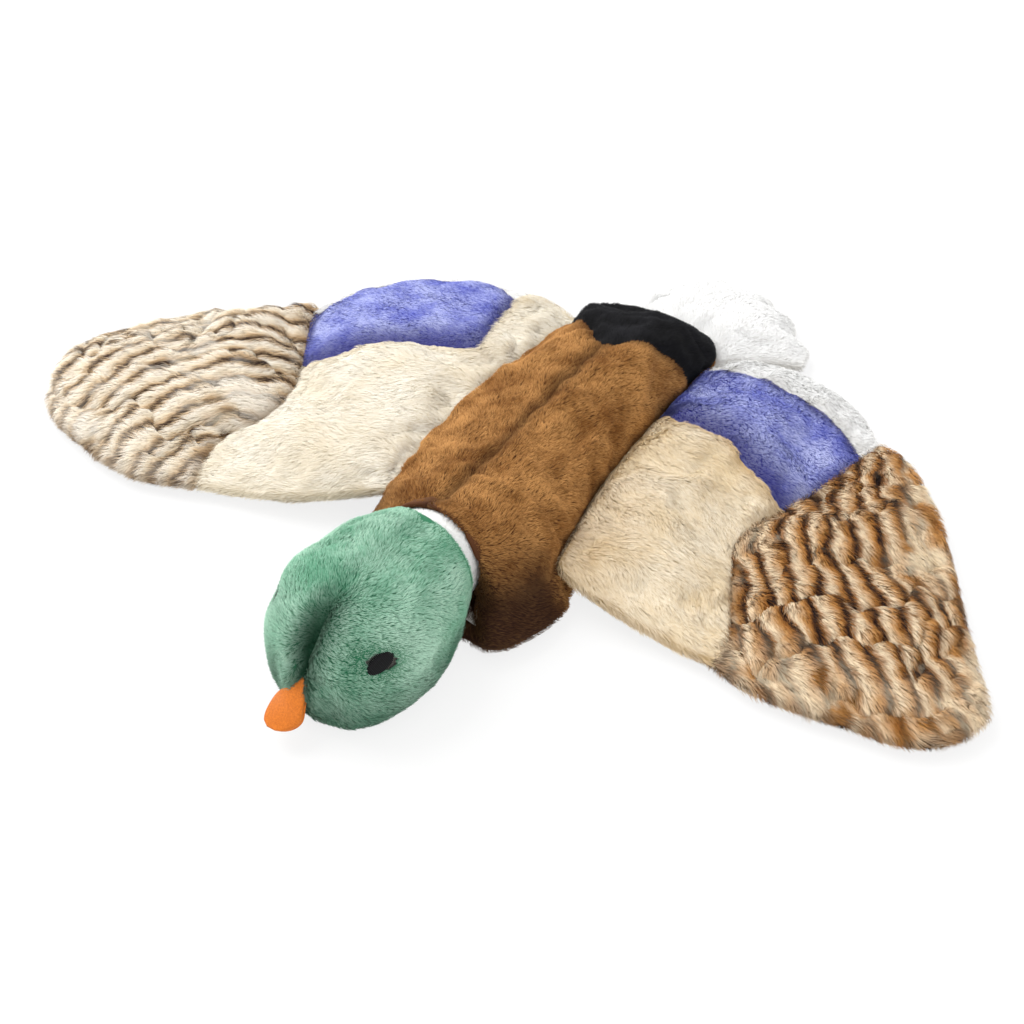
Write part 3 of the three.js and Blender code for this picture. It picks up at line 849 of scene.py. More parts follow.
@dataclass(frozen=True)
class Pile:
    """The pile of one cloth: how long, wide and dense its fibres are, and how they lie.

    The lift is the angle at which they stand, in degrees, the bow how their lower and
    upper halves bend off it, and the droop how far those on a rim hang down over it.
    Real fibres are finer than these, which are as wide as they need to be to show.
    """

    length: float
    width: float = 0.3
    density: float = 4.0
    lift: float = 22.0
    stray: float = 0.28
    lock_mm: float = 3.0
    lock_share: float = 0.35
    droop: float = 0.0
    most: int = 66000
    rooted: float = 0.5
    lowest: float = 0.2
    bow: Pair = (0.35, -0.30)
    taper: float = 0.8

    def scatter(
        self, surface: Surface, source: np.random.Generator
    ) -> tuple[Array, Array, float]:
        """Spreads the fibres' roots over a cloth.

        Args:
            surface: The cloth.
            source: Gives the random numbers.

        Returns:
            The triangle under each root, the root's weights in it, and the cloth's area.
        """
        a, b, c = (surface.place[surface.faces[:, k]] for k in range(3))
        areas = np.linalg.norm(np.cross(b - a, c - a), axis=1) / 2
        if "dense" in surface.values:
            areas = areas * surface.values["dense"][surface.faces].mean(1)
        sums = np.cumsum(areas)
        count = int(min(sums[-1] * self.density, self.most))
        spots = (np.arange(count) + source.random(count)) / count * sums[-1]
        chosen = surface.faces[np.minimum(np.searchsorted(sums, spots), len(sums) - 1)]
        u, v = source.random(count), source.random(count)
        fold = u + v > 1
        u, v = np.where(fold, 1 - u, u), np.where(fold, 1 - v, v)
        return chosen, np.stack([1 - u - v, u, v], 1), sums[-1]

    def gather(
        self, rest: Array, middle: Array, tip: Array, area: float, source: np.random.Generator
    ) -> None:
        """Pulls the fibres together in locks.

        Args:
            rest: Their roots, on the cloth at rest.
            middle: Their middles, changed in place.
            tip: Their tips, changed in place.
            area: The cloth's area.
            source: Gives the random numbers.
        """
        centres = source.choice(len(rest), max(1, int(area / self.lock_mm**2)), replace=False)
        tree = KDTree(len(centres))
        for place, index in enumerate(centres):
            tree.insert(rest[index], place)
        tree.balance()
        lock = np.array([tree.find(point)[1] for point in rest])
        count = len(centres)
        size = np.maximum(np.bincount(lock, minlength=count), 1)
        share = self.lock_share * source.uniform(0.3, 1.0, count)[lock][:, None]
        for points, pull in ((middle, 0.35), (tip, 1.0)):
            mean = np.stack([np.bincount(lock, points[:, k], count) / size for k in range(3)], 1)
            points += (mean[lock] - points) * share * pull

    def grow(
        self, surface: Surface, seed: int
    ) -> tuple[Array, Array, dict[str, Array], Array, Array]:
        """Grows the pile on a cloth, each fibre a narrow ribbon of three triangles.

        Args:
            surface: The cloth, with its normal, comb, rest, seam, crease and fade values.
            seed: Chooses the fibres' places.

        Returns:
            Vertices, triangles, their values, texture places and shading normals.
        """
        source = np.random.default_rng(seed)
        chosen, weights, area = self.scatter(surface, source)
        count = len(chosen)

        def read(name: str) -> Array:
            """Reads one of the cloth's values at the roots."""
            return np.einsum("nk,nk...->n...", weights, surface.values[name][chosen])

        root, rest, normal = read("place"), read("rest"), unit(read("normal"))
        fall = self.droop * (1 - np.clip(normal[:, 2:], 0, 1)) ** 1.5
        comb = unit(read("comb")) + fall * (normal * (1, 1, 0) - np.array([0, 0, 0.7]))
        comb = unit(comb - (comb * normal).sum(1, keepdims=True) * normal)
        across = np.cross(normal, comb)
        turn = 0.35 * ripple(rest, 38.0, 5) + 0.22 * ripple(rest, 9.0, 6)
        turn = (turn + source.normal(size=count) * self.stray * 0.5)[:, None]
        comb = comb * np.cos(turn) + across * np.sin(turn)
        lift = np.radians(self.lift) * (1 + 0.3 * ripple(rest, 26.0, 7))
        lift = (lift + source.normal(size=count) * self.stray * 0.35)[:, None]
        length = self.length * (source.uniform(0.75, 1.15, count) * read("grow"))[:, None]
        first, second = (lift + bend for bend in self.bow)
        middle = root + length * 0.5 * (comb * np.cos(first) + normal * np.sin(first))
        tip = middle + length * 0.5 * (comb * np.cos(second) + normal * np.sin(second))
        self.gather(rest, middle, tip, area, source)

        way = unit(tip - root)
        side = unit(np.cross(way, normal))
        front = np.cross(side, way)
        twist = (source.normal(size=count) * 0.45)[:, None]
        side = side * np.cos(twist) + front * np.sin(twist)
        front = np.cross(side, way)
        half = side * (0.5 * self.width * source.uniform(0.7, 1.3, count)[:, None])
        root = root - normal * self.rooted
        waist = half * self.taper
        ribbon = [root - half, root + half, middle - waist, middle + waist, tip]
        points = np.stack(ribbon, 1)
        points[..., 2] = np.maximum(points[..., 2], self.lowest)
        each = points.shape[1]
        base = np.arange(count)[:, None, None] * each
        faces = (base + np.array([[0, 1, 3], [0, 3, 2], [2, 3, 4]])).reshape(-1, 3)
        glint = side * source.normal(size=count)[:, None] * 0.13
        shading = unit(normal * 0.74 + front * 0.22 + glint)
        values = {name: np.repeat(read(name), each) for name in ("seam", "crease", "fade")}
        values["root_mm"] = np.repeat(rest, each, 0)
        values["along"] = np.tile([0.0, 0.0, 0.5, 0.5, 1.0], count)
        values["chance"] = np.repeat(source.random(count), each)
        columns = math.ceil(math.sqrt(count))
        cell = np.stack([np.arange(count) % columns, np.arange(count) // columns], 1)[:, None]
        corner = np.array([[0.2, 0.1], [0.8, 0.1], [0.2, 0.55], [0.8, 0.55], [0.5, 0.9]])
        uv = ((cell + corner) / columns).reshape(-1, 2)
        return points.reshape(-1, 3), faces, values, uv, np.repeat(shading, each, 0)


@dataclass(frozen=True)
class Panel:
    """One sewn panel: the node that it stands for, its cloth, its pile and its fill."""

    node: str
    finish: Finish
    pile: Pile
    fill: float = 0.6

    def make(self, surface: Surface, hold: Hold, seed: int) -> None:
        """Makes the panel's cloth and its pile.

        Args:
            surface: The panel's outer side, with its values.
            hold: What it moves with.
            seed: Chooses the fibres' places.
        """
        place, faces, outer = thickened(surface, 1.0)
        spread = surface.values["uv"]
        low, high = spread.min(0), spread.max(0)
        uv = ((spread - low) / np.maximum(high - low, 1e-6))[outer]
        values = {name: surface.values[name][outer] for name in ("seam", "crease", "fade")}
        values["root_mm"] = surface.values["rest"][outer]
        # The cloth under the pile takes the fibres' root colour, painted shade seen in the gaps
        # between them.
        values["along"] = np.full(len(place), 0.08)
        values["chance"] = np.full(len(place), 0.4)
        finish = self.finish.value
        cloth = mesh_object(self.node + "_cloth", place, faces, finish, values, uv)
        hold.take(cloth, self.node, self.fill)
        hair = self.pile.grow(surface, seed)
        pile = mesh_object(self.node + "_pile", *hair[:2], finish, *hair[2:])
        hold.take(pile)


def make_filling(node: str, place: Array, faces: Array, hold: Hold, fill: float) -> None:
    """Makes the filling of a section.

    Args:
        node: The node that it stands for.
        place: Its vertices.
        faces: Its triangles.
        hold: What it moves with.
        fill: How full it is.
    """
    normal = vertex_normals(place, faces)
    lumpy = place - normal * (0.5 + 0.5 * ripple(place, 14.0, 3))[:, None]
    lumpy[:, 2] = np.maximum(lumpy[:, 2], 0.6)
    low, high = place[:, :2].min(0), place[:, :2].max(0)
    uv = (place[:, :2] - low) / (high - low)
    finish = Finish.FILLING.value
    piece = mesh_object(node + "_fibre", lumpy, faces, finish, {"root_mm": place}, uv)
    hold.take(piece, node, fill)


# Cloth over a stuffed form


# How the backing cloth stretches, bends and slows down while the filling pushes.
BACKING: dict[str, Any] = {
    "quality": 6,
    "mass": 0.15,
    "tension_stiffness": 12,
    "compression_stiffness": 12,
    "shear_stiffness": 4,
    "bending_stiffness": 0.08,
    "air_damping": 3,
    "use_pressure": True,
    "vertex_group_mass": "held",
}


@dataclass(frozen=True)
class Stuffing:
    """How hard a section is filled: the filling's push, and the cloth's spare width."""

    pressure: float = 4.0
    spare: float = 0.05
    cap_mm: float = 3.2
    frames: int = 20

    def settle(self, name: str, place: Array, polygons: list[list[int]], held: Array) -> Array:
        """Lets the filling push a section's cloth out, with the seams held.

        Args:
            name: The section's name.
            place: The cloth's vertices.
            polygons: Its faces.
            held: How firmly each vertex is held, from 0 to 1.

        Returns:
            The vertices after the cloth has settled.
        """
        scene = bpy.context.scene
        mesh = bpy.data.meshes.new(name + "_settling")
        mesh.from_pydata((place * MM).tolist(), [], polygons)
        piece = put(name + "_settling", mesh)
        group = piece.vertex_groups.new(name="held")
        for index, weight in enumerate(held):
            group.add([index], float(weight), "REPLACE")
        cloth = piece.modifiers.new("Cloth", "CLOTH")
        for key, value in BACKING.items():
            setattr(cloth.settings, key, value)
        cloth.settings.uniform_pressure_force = self.pressure
        cloth.settings.shrink_min = -self.spare
        cloth.settings.effector_weights.gravity = 0
        cloth.collision_settings.use_collision = False
        cloth.point_cache.frame_start = 1
        cloth.point_cache.frame_end = self.frames
        for frame_number in range(1, self.frames + 1):
            scene.frame_set(frame_number)
        seen = piece.evaluated_get(bpy.context.evaluated_depsgraph_get()).data
        moved = np.empty(len(seen.vertices) * 3, np.float32)
        seen.vertices.foreach_get("co", moved)
        step = moved.reshape(-1, 3).astype(float) / MM - place
        bpy.data.objects.remove(piece)
        bpy.data.meshes.remove(mesh)
        scene.frame_set(1)
        length = np.linalg.norm(step, axis=1, keepdims=True)
        LOG.info("%s settled, largest move %.1f mm", name, float(length.max()))
        return place + step * np.minimum(1, self.cap_mm / np.maximum(length, 1e-9))


# What the needle leaves, in millimetres: how high, long and wide the puckers are, and
# how far a seam draws the cloth down and how far the shade painted along it reaches.
PUCKER_HIGH, PUCKER_LONG, PUCKER_WIDE = 0.35, 11.0, 12.0
SEAM_WIDE, SEAM_SHADE = 4.5, 6.0
# How deep a crease is, and how wide as a share of a fold.
CREASE_DEEP, CREASE_WIDE = 2.4, 0.09
LOWEST_CLOTH = 0.6


def dress(
    surface: Surface,
    seam: Array,
    depth: float | Array,
    folds: float,
    seed: int,
    crease: Optional[Array] = None,
    calm: float = 0.0,
) -> None:
    """Adds what the needle and the hand leave: sunken seams, puckers and soft folds.

    Args:
        surface: The surface, changed in place, which gets its normal, its seam value, which paints
            shade along the seams, and its crease.
        seam: The distance of each vertex to the nearest seam.
        depth: How deep the seam lies, in all or at each vertex.
        folds: The height of the soft folds.
        seed: Chooses the folds.
        crease: Fold numbers across the cloth, or None where it has no creases.
        calm: How wide the rim is that keeps its place, where the seam is the rim.
    """
    rest, nought = surface.values["rest"], np.zeros(len(surface.place))
    normal = vertex_normals(surface.place, surface.faces)
    still = smooth(surface.values["rim_mm"], 0.5, calm) if calm else 1.0
    pucker = PUCKER_HIGH * ripple(rest, PUCKER_LONG, seed) * bell(seam, PUCKER_WIDE)
    fold = folds * (0.6 * ripple(rest, 42.0, seed + 1) + 0.4 * ripple(rest, 19.0, seed + 2))
    if crease is not None:
        fold = fold - CREASE_DEEP * bell(np.abs(crease - np.round(crease)), CREASE_WIDE)
    out = still * (pucker + fold - depth * bell(seam, SEAM_WIDE))
    place = surface.place + normal * out[:, None]
    place[:, 2] = np.maximum(place[:, 2], LOWEST_CLOTH)
    surface.values["place"] = place
    surface.values["normal"] = vertex_normals(place, surface.faces)
    # Painted shade: the seam value, 1 on a seam, mixes the cloth's shade colour in along it.
    surface.values["seam"] = bell(seam, SEAM_SHADE)
    surface.values["crease"] = nought if crease is None else crease
    surface.values.setdefault("grow", nought + 1)
    surface.values.setdefault("fade", nought)


# Forms


@dataclass
class Pillow:
    """A stuffed flat section between four plan curves, with cloth above and below.

    The middle plane's height comes from a function of the shares outward and to the rear.
    The seam hold is how firmly, and how far round it, a seam holds the cloth, and the
    free width is where the cloth off the rim begins to move, and moves in full.
    """

    name: str
    front: Curve
    rear: Curve
    inner: Curve
    outer: Curve
    middle: Callable[[Array, Array], Array]
    crown: float
    keel: float
    root_power: float
    end_power: float
    turned: bool
    rows: int = 20
    columns: int = 28
    roundness: float = 2.6
    side_power: float = 0.6
    cloth: float = 3.0
    rim_share: float = 0.3
    set_in: float = 2.0
    lowest: float = 0.9
    filling_gap: float = 2.4
    seam_hold: Pair = (0.9, 4.0)
    free_mm: Pair = (1.0, 16.0)
    finer_by: int = 4
    fill: Stuffing = Stuffing()

    def shares(self) -> list[Array]:
        """Gives the shares outward and to the rear at the cloth's own points."""
        return np.meshgrid(eased(self.rows), eased(self.columns), indexing="ij")

    def plan(self, s: Array, t: Array) -> Array:
        """Reads plan points between the curves.

        Args:
            s: Shares outward.
            t: Shares to the rear.

        Returns:
            The plan points.
        """
        s1, t1 = s[..., None], t[..., None]
        (a, b), (c, d) = (edge.at(np.array([0.0, 1.0])) for edge in (self.inner, self.outer))
        along = self.front.at(s) * (1 - t1) + self.rear.at(s) * t1
        across = self.inner.at(t) * (1 - s1) + self.outer.at(t) * s1
        corners = a * (1 - s1) * (1 - t1) + b * (1 - s1) * t1 + c * s1 * (1 - t1) + d * s1 * t1
        return along + across - corners

    def hump(self, share: Array, power: float) -> Array:
        """Swells from 0 at both ends to 1 in the middle."""
        return (1 - np.abs(2 * share - 1) ** self.roundness) ** power

    def shaped(self) -> tuple[Array, Array]:
        """Shapes the cloth before the filling pushes.

        Returns:
            The grids of the upper and lower cloth.
        """
        s, t = self.shares()
        plan = self.plan(s, t)
        ends = np.where(s < 0.5, self.hump(s, self.root_power), self.hump(s, self.end_power))
        swell = ends * self.hump(t, self.side_power)
        rising = (self.cloth - self.set_in) * smooth(swell, 0, 0.4)
        thick = self.cloth * self.rim_share + 0.15 + rising
        middle = self.middle(s, t)
        top = middle + thick + self.crown * swell
        under = np.maximum(middle - thick - self.keel * swell, self.lowest)
        return np.dstack([plan, top]), np.dstack([plan, under])

    def surfaces(
        self, seams: Callable[[Array], Array], comb: Callable[[Array], Array]
    ) -> tuple[Surface, Surface]:
        """Makes the section's upper and lower cloth.

        Args:
            seams: Gives the distance from plan points to the nearest seam on the upper side.
            comb: Gives the pile's direction at rest points.

        Returns:
            The upper and the lower surface.
        """
        top, under = self.shaped()
        rows, columns = top.shape[:2]
        count = rows * columns
        upper = np.arange(count).reshape(rows, columns)
        lower = upper.copy()
        inside = np.arange((rows - 2) * (columns - 2)).reshape(rows - 2, columns - 2)
        lower[1:-1, 1:-1] = count + inside
        place = np.concatenate([top.reshape(-1, 3), under[1:-1, 1:-1].reshape(-1, 3)])
        rim = np.ones((rows, columns), bool)
        rim[1:-1, 1:-1] = False
        place[upper[rim], 2] = (top[rim][:, 2] + under[rim][:, 2]) / 2
        polygons = []
        for grid, flip in ((upper, self.turned), (lower, not self.turned)):
            quads = np.stack([grid[:-1, :-1], grid[1:, :-1], grid[1:, 1:], grid[:-1, 1:]], -1)
            quads = quads.reshape(-1, 4)
            polygons += (quads[:, ::-1] if flip else quads).tolist()
        held = np.zeros(len(place))
        held[upper[rim]] = 1.0
        firm, wide = self.seam_hold
        by_seam = firm * bell(seams(place[:count, :2]), wide)
        held[:count] = np.maximum(held[:count], by_seam)
        moved = self.fill.settle(self.name, place, polygons, held)
        s, t = self.shares()
        wide = np.linalg.norm(top[-1].mean(0) - top[0].mean(0))
        deep = np.linalg.norm(top[:, -1].mean(0) - top[:, 0].mean(0))
        near = np.minimum(np.minimum(s, 1 - s) * wide, np.minimum(t, 1 - t) * deep)
        free = np.zeros(len(place))
        free[lower] = free[upper] = 0.1 + 0.9 * smooth(near, *self.free_mm)
        moved = place + (moved - place) * free[:, None]
        over = self.one_side(place[upper], moved[upper], comb, True)
        return over, self.one_side(place[lower], moved[lower], comb, False)

    def one_side(
        self, rest: Array, now: Array, comb: Callable[[Array], Array], upper: bool
    ) -> Surface:
        """Makes the cloth of one side.

        Args:
            rest: Its grid before the filling pushes.
            now: Its grid after that.
            comb: Gives the pile's direction at rest points.
            upper: Whether it is the upper side.

        Returns:
            The surface.
        """
        rest, now = (finer(grid, self.finer_by, False) for grid in (rest, now))
        shares = grid_shares(*rest.shape[:2])
        faces = grid_faces(*rest.shape[:2], False)
        spread = np.linalg.norm(now[-1].mean(0) - now[0].mean(0))
        depth = np.linalg.norm(now[:, -1].mean(0) - now[:, 0].mean(0))
        out, back = np.minimum(shares, 1 - shares).T
        rim = np.minimum(out**1.6 * 2 * spread, back**1.6 * 2 * depth)
        rest = rest.reshape(-1, 3)
        values = {
            "place": now.reshape(-1, 3),
            "rest": rest,
            "uv": rest[:, :2],
            "comb": comb(rest),
            "rim_mm": rim,
            "fan": (1 - np.cos(np.pi * shares)) / 2,
            "dense": np.ones(len(rest)) if upper else 0.3 + 0.7 * (1 - smooth(rim, 10, 22)),
        }
        return Surface(values, faces[:, ::-1] if self.turned == upper else faces)

    def filling(self, top: Surface, under: Surface) -> tuple[Array, Array]:
        """Gives the closed mesh of the filling.

        Args:
            top: The upper cloth, dressed.
            under: The lower cloth, dressed.

        Returns:
            Its vertices and triangles.
        """
        shape = (self.rows * self.finer_by + 1, self.columns * self.finer_by + 1, 3)
        step = slice(self.finer_by, -1, self.finer_by)
        high, low = (s.place.reshape(shape)[step, step].copy() for s in (top, under))
        middle = (high[..., 2] + low[..., 2]) / 2
        half = np.maximum((high[..., 2] - low[..., 2]) / 2 - self.filling_gap, 0.2)
        low[..., :2] = high[..., :2]
        high[..., 2], low[..., 2] = middle + half, middle - half
        faces = grid_faces(*high.shape[:2], False)
        faces = faces[:, ::-1] if self.turned else faces
        values = {"place": high.reshape(-1, 3), "normal": (high - low).reshape(-1, 3)}
        return thickened(Surface(values, faces), 1.0)[:2]


@dataclass
class Loft:
    """A stuffed round section through cross-sections, in its own frame.

    Each station gives the section's place, lean, half width, low, side seam, top, bulge
    and how far it leans back with its height.
    """

    name: str
    stations: Array
    back_roundness: float = 2.2
    belly_roundness: float = 3.4
    rise_lean: float = 0.15
    drop_lean: float = 0.4
    front_cap: float = -5.0
    rear_cap: float = 5.0
    cap_shares: tuple[float, ...] = (0.86, 0.66, 0.4, 0.02)
    steps: int = 56
    finer_rings: int = 4
    fill: Stuffing = Stuffing(spare=0.03, cap_mm=3.0)

    def rings(self) -> Array:
        """Lays rings of points through the stations.

        Returns:
            Rings by steps by coordinates.
        """
        y, lean, half, low, side, top, bulge, follow = refined(self.stations, self.finer_rings).T
        angle = 2 * np.pi * np.arange(self.steps) / self.steps
        cosine, up = np.cos(angle), -np.sin(angle)
        power = np.where(up > 0, 2 / self.back_roundness, 2 / self.belly_roundness)
        rise = np.where(up > 0, (top - side)[:, None], (side - low)[:, None])
        spread = np.where(up < 0, np.sin(2 * angle), 0) * bulge[:, None]
        x = lean[:, None] + half[:, None] * np.sign(cosine) * np.abs(cosine) ** power + spread
        z = side[:, None] + rise * np.sign(up) * np.abs(up) ** power
        back = follow[:, None] * z * np.where(z > 0, self.rise_lean, self.drop_lean)
        return np.dstack([x, y[:, None] + back, z])

    def cap(self, ring: Array, out: float) -> list[Array]:
        """Shrinks an end ring towards its middle, down to a point.

        Args:
            ring: The ring.
            out: How far the cap stands out.

        Returns:
            The cap's rings, outward.
        """
        middle, made = ring.mean(0), []
        for share in self.cap_shares:
            shrunk = middle + (ring - middle) * share
            shrunk[:, 1] += out * (1 - share**2)
            made.append(shrunk)
        return made

    def surface(
        self,
        fit: Callable[[Array], Array],
        held: Callable[[Array], Array],
        soften: Callable[[Array], Array] = lambda grid: grid,
    ) -> Surface:
        """Makes the section's cloth, with its pile combed to the rear.

        Args:
            fit: Moves points off the neighbouring sections.
            held: How firmly points are held while the filling pushes.
            soften: Smooths the rings after the fit.

        Returns:
            The surface, closed at both ends.
        """
        grid = self.rings()
        caps = self.cap(grid[0], self.front_cap)[::-1], self.cap(grid[-1], self.rear_cap)
        grid = np.stack([*caps[0], *grid, *caps[1]])
        shape = grid.shape
        grid = soften(fit(grid.reshape(-1, 3)).reshape(shape))
        index = np.arange(shape[0] * shape[1]).reshape(shape[:2])
        right = np.roll(index, -1, axis=1)
        quads = np.stack([index[:-1], right[:-1], right[1:], index[1:]], -1).reshape(-1, 4)
        polygons = [*quads[:, ::-1].tolist(), index[0].tolist(), index[-1][::-1].tolist()]
        place = grid.reshape(-1, 3)
        moved = self.fill.settle(self.name, place, polygons, held(place))
        rest = finer(place[index], 2, True)
        rows, columns = rest.shape[:2]
        rest = rest.reshape(-1, 3)
        values = {
            "place": finer(moved[index], 2, True).reshape(-1, 3),
            "rest": rest,
            "uv": grid_shares(rows, columns),
            "comb": np.tile([0.0, 1.0, 0.0], (len(rest), 1)),
        }
        return Surface(values, grid_faces(rows, columns, True)[:, ::-1])

    def filling(self, surface: Surface, depth: float) -> tuple[Array, Array]:
        """Gives the closed mesh of the filling.

        Args:
            surface: The dressed cloth, in rings.
            depth: How far inside the cloth the filling lies.

        Returns:
            Its vertices and triangles.
        """
        grid = surface.place.reshape(-1, 2 * self.steps, 3)[::2, ::2]
        out = (grid - grid.mean(1, keepdims=True)) * (1, 0, 1)
        far = np.linalg.norm(out, axis=2, keepdims=True)
        grid = grid - out * np.minimum(depth / np.maximum(far, 1e-6), 0.95)
        ends = grid[..., 1].min(), grid[..., 1].max()
        centre, half = (ends[0] + ends[1]) / 2, (ends[1] - ends[0]) / 2
        grid[..., 1] = centre + (grid[..., 1] - centre) * (1 - depth / half)
        rows, columns = grid.shape[:2]
        first = np.arange(columns)
        last = first + (rows - 1) * columns
        start, end = np.zeros(columns, int), np.full(columns, last[0])
        caps = [np.stack([start, first, np.roll(first, -1)], 1)]
        caps.append(np.stack([end, np.roll(last, -1), last], 1))
        faces = [grid_faces(rows, columns, True)[:, ::-1], *(cap[1:-1] for cap in caps)]
        return grid.reshape(-1, 3), np.concatenate(faces)


# Sections of the duck


NECK: Point = (6.0, -102.0, 36.0)


@dataclass
class Body:
    """The brown body with its black rump patch.

    Each row of shares gives a cross-section: its place along the body, its width and top
    as shares of the largest, its lean, its low under the side seam, and its bulge.
    """

    length: float = 296.0
    front_y: float = -130.0
    half_width: float = 54.0
    top: float = 58.0
    lean: float = 10.0
    bulge: float = 22.0
    flank_front: Plan = (-62.0, 26.0)
    flank_rear: Plan = (136.0, 16.0)
    neck: Point = NECK
    chest_edge: tuple[Plan, ...] = (
        (0, 3), (24, 2), (34, -1), (44, -10), (54, -20), (64, -28), (90, -28),
    )
    chest_slope: float = 0.56
    chest_bend: float = 4.0
    socket: float = 29.6
    rump_point: float = 81.0
    rump_arm: Plan = (40.0, 34.0)
    rump_far: Plan = (140.0, 260.0)
    set_in: float = 2.0
    stuffing_depth: float = 7.0
    shares: tuple[tuple[float, ...], ...] = (
        (0.000, 0.50, 0.50, 0.90, 0.24, 0.50),
        (0.030, 0.69, 0.70, 0.90, 0.10, 0.80),
        (0.088, 0.87, 0.90, 0.90, 0.02, 0.90),
        (0.169, 0.98, 1.01, 0.80, 0.00, 0.90),
        (0.236, 0.96, 1.01, 0.50, 0.00, 0.80),
        (0.297, 0.96, 1.01, 0.20, 0.00, 0.50),
        (0.426, 0.93, 1.00, -0.20, 0.00, 0.10),
        (0.568, 0.90, 1.00, -0.30, 0.00, 0.00),
        (0.709, 0.88, 0.97, -0.30, 0.00, 0.00),
        (0.818, 0.86, 0.90, -0.20, 0.00, 0.00),
        (0.894, 0.82, 0.78, 0.00, 0.02, 0.00),
        (0.946, 0.76, 0.62, 0.40, 0.12, 0.00),
        (0.980, 0.63, 0.49, 0.50, 0.26, 0.00),
        (1.000, 0.48, 0.40, 0.50, 0.40, 0.00),
    )

    def flank_z(self, y: Any) -> Any:
        """The side seam's height along the body."""
        (y0, z0), (y1, z1) = self.flank_front, self.flank_rear
        return z0 + (z1 - z0) * (y - y0) / (y1 - y0)

    def edge(self) -> tuple[Array, Array, Array]:
        """Gives the place, lean and half width of each cross-section."""
        place, width, _, lean, _, _ = np.array(self.shares).T
        return self.front_y + place * self.length, lean * self.lean, width * self.half_width

    def loft(self) -> Loft:
        """Shapes the body, drawn in by the pile's depth.

        Returns:
            Its form.
        """
        rows = []
        for place, width, top, lean, under, bulge in self.shares:
            y = self.front_y + place * self.length
            side = self.flank_z(y)
            half, high = width * self.half_width - self.set_in, top * self.top - self.set_in
            low = under * side + 0.6
            rows.append([y, lean * self.lean, half, low, side, high, bulge * self.bulge, 0])
        return Loft("body", np.array(rows), front_cap=68.0)

    def room(self, points: Array) -> Array:
        """Keeps the cloth out of the space in which the neck and head turn.

        Args:
            points: The points.

        Returns:
            The points, moved to the rear and round the collar where they need it.
        """
        x, y, z = (points - np.array(self.neck)).T
        edge, bend = np.array(self.chest_edge), self.chest_bend
        limit = np.interp(np.abs(x), edge[:, 0], edge[:, 1]) + self.chest_slope * np.minimum(z, 0)
        pushed = y + bend * np.log1p(np.exp(np.clip((limit - y) / bend, -40, 40)))
        return self.clear(np.stack([x, pushed, z], 1) + np.array(self.neck))

    def clear(self, points: Array) -> Array:
        """Moves points straight out of the collar's ball.

        Args:
            points: The points.

        Returns:
            The points, moved.
        """
        out = points - np.array(self.neck)
        length = np.linalg.norm(out, axis=-1, keepdims=True)
        return out * np.maximum(1, self.socket / length) + np.array(self.neck)

    def soften(self, grid: Array) -> Array:
        """Rounds the chest's edges, where the neck's room cut into it.

        Args:
            grid: Rings by steps by coordinates.

        Returns:
            The grid with its front part smoothed.
        """
        front, low = smooth(grid[..., 1:2], -90, -66), smooth(grid[..., 2:], 28, 44)
        weight = 0.5 * (1 - front) * (1 - low)
        for _ in range(8):
            around = (np.roll(grid, 1, axis=1) + np.roll(grid, -1, axis=1)) / 2
            grid = grid + weight * (around - grid)
            along = grid.copy()
            along[1:-1] = (grid[:-2] + grid[2:]) / 2
            grid = grid + weight * (along - grid)
        return self.clear(grid)

    def held(self, points: Array) -> Array:
        """Holds the back seam, the side seam, the ends and the floor.

        Args:
            points: The points.

        Returns:
            How firmly each is held, from 0 to 1.
        """
        x, y, z = points.T
        back = bell(x, 5) * (z > 30)
        ends = smooth(y, 140, 155) + (1 - smooth(y, -85, -70))
        side = bell(z - self.flank_z(y), 5)
        return np.clip(np.maximum.reduce([back, side, ends, (z < 4) * 1.0]), 0, 1)

    def sew(self, surface: Surface) -> Array:
        """Sinks the seams, combs the pile, and paints shade on the seams and the lower breast.

        Args:
            surface: The body's cloth, changed in place.

        Returns:
            The height of each vertex above the side seam.
        """
        rest = surface.values["rest"]
        across, above = np.abs(rest[:, 0]), rest[:, 2] - self.flank_z(rest[:, 1])
        (x, arm), (wide, far) = self.rump_arm, self.rump_far
        arm += self.rump_point
        right = [(x, arm), (wide, arm), (wide, far)]
        left = [(-x, y) for x, y in reversed(right)]
        rump = outline_side(rest[:, :2], np.array([(0, self.rump_point), *right, *left]))
        back = np.where((above > 0) & (rump < 0), 1.35 * across, 60)
        rim = np.where(above > 0, np.abs(rump), 60)
        seam = np.minimum.reduce([back, np.abs(above) + 0.5, rim])
        sunk = 0.6 + 3.6 * smooth(rest[:, 1], -92, -62)
        depth = np.where(np.abs(above) < 8, 1.0, np.where(back < 12, sunk, 2.4))
        comb = surface.values["comb"]
        comb[:, 2] = -0.5 * smooth(across, 10, 50)
        comb[:, 0] = 0.25 * np.sign(rest[:, 0]) * smooth(across, 0, 30)
        outward = unit((rest - np.array(self.neck)) * (1, 0, 1)) + np.array([0.0, 0.6, 0.0])
        near = (1 - smooth(rest[:, 1:2], -102, -84)) * (rest[:, 2:] > 10)
        surface.values.update(rump=rump, comb=comb * (1 - near) + outward * near)
        dress(surface, seam, depth, 0.9, 11)
        # Painted shade: the lower breast darkens towards the shade colour, low and to the front.
        low = 1.15 * smooth(-rest[:, 1], 60, 86) * (1 - smooth(rest[:, 2], 30, 58))
        surface.values["seam"] = np.maximum(0.7 * surface.values["seam"], low)
        return above

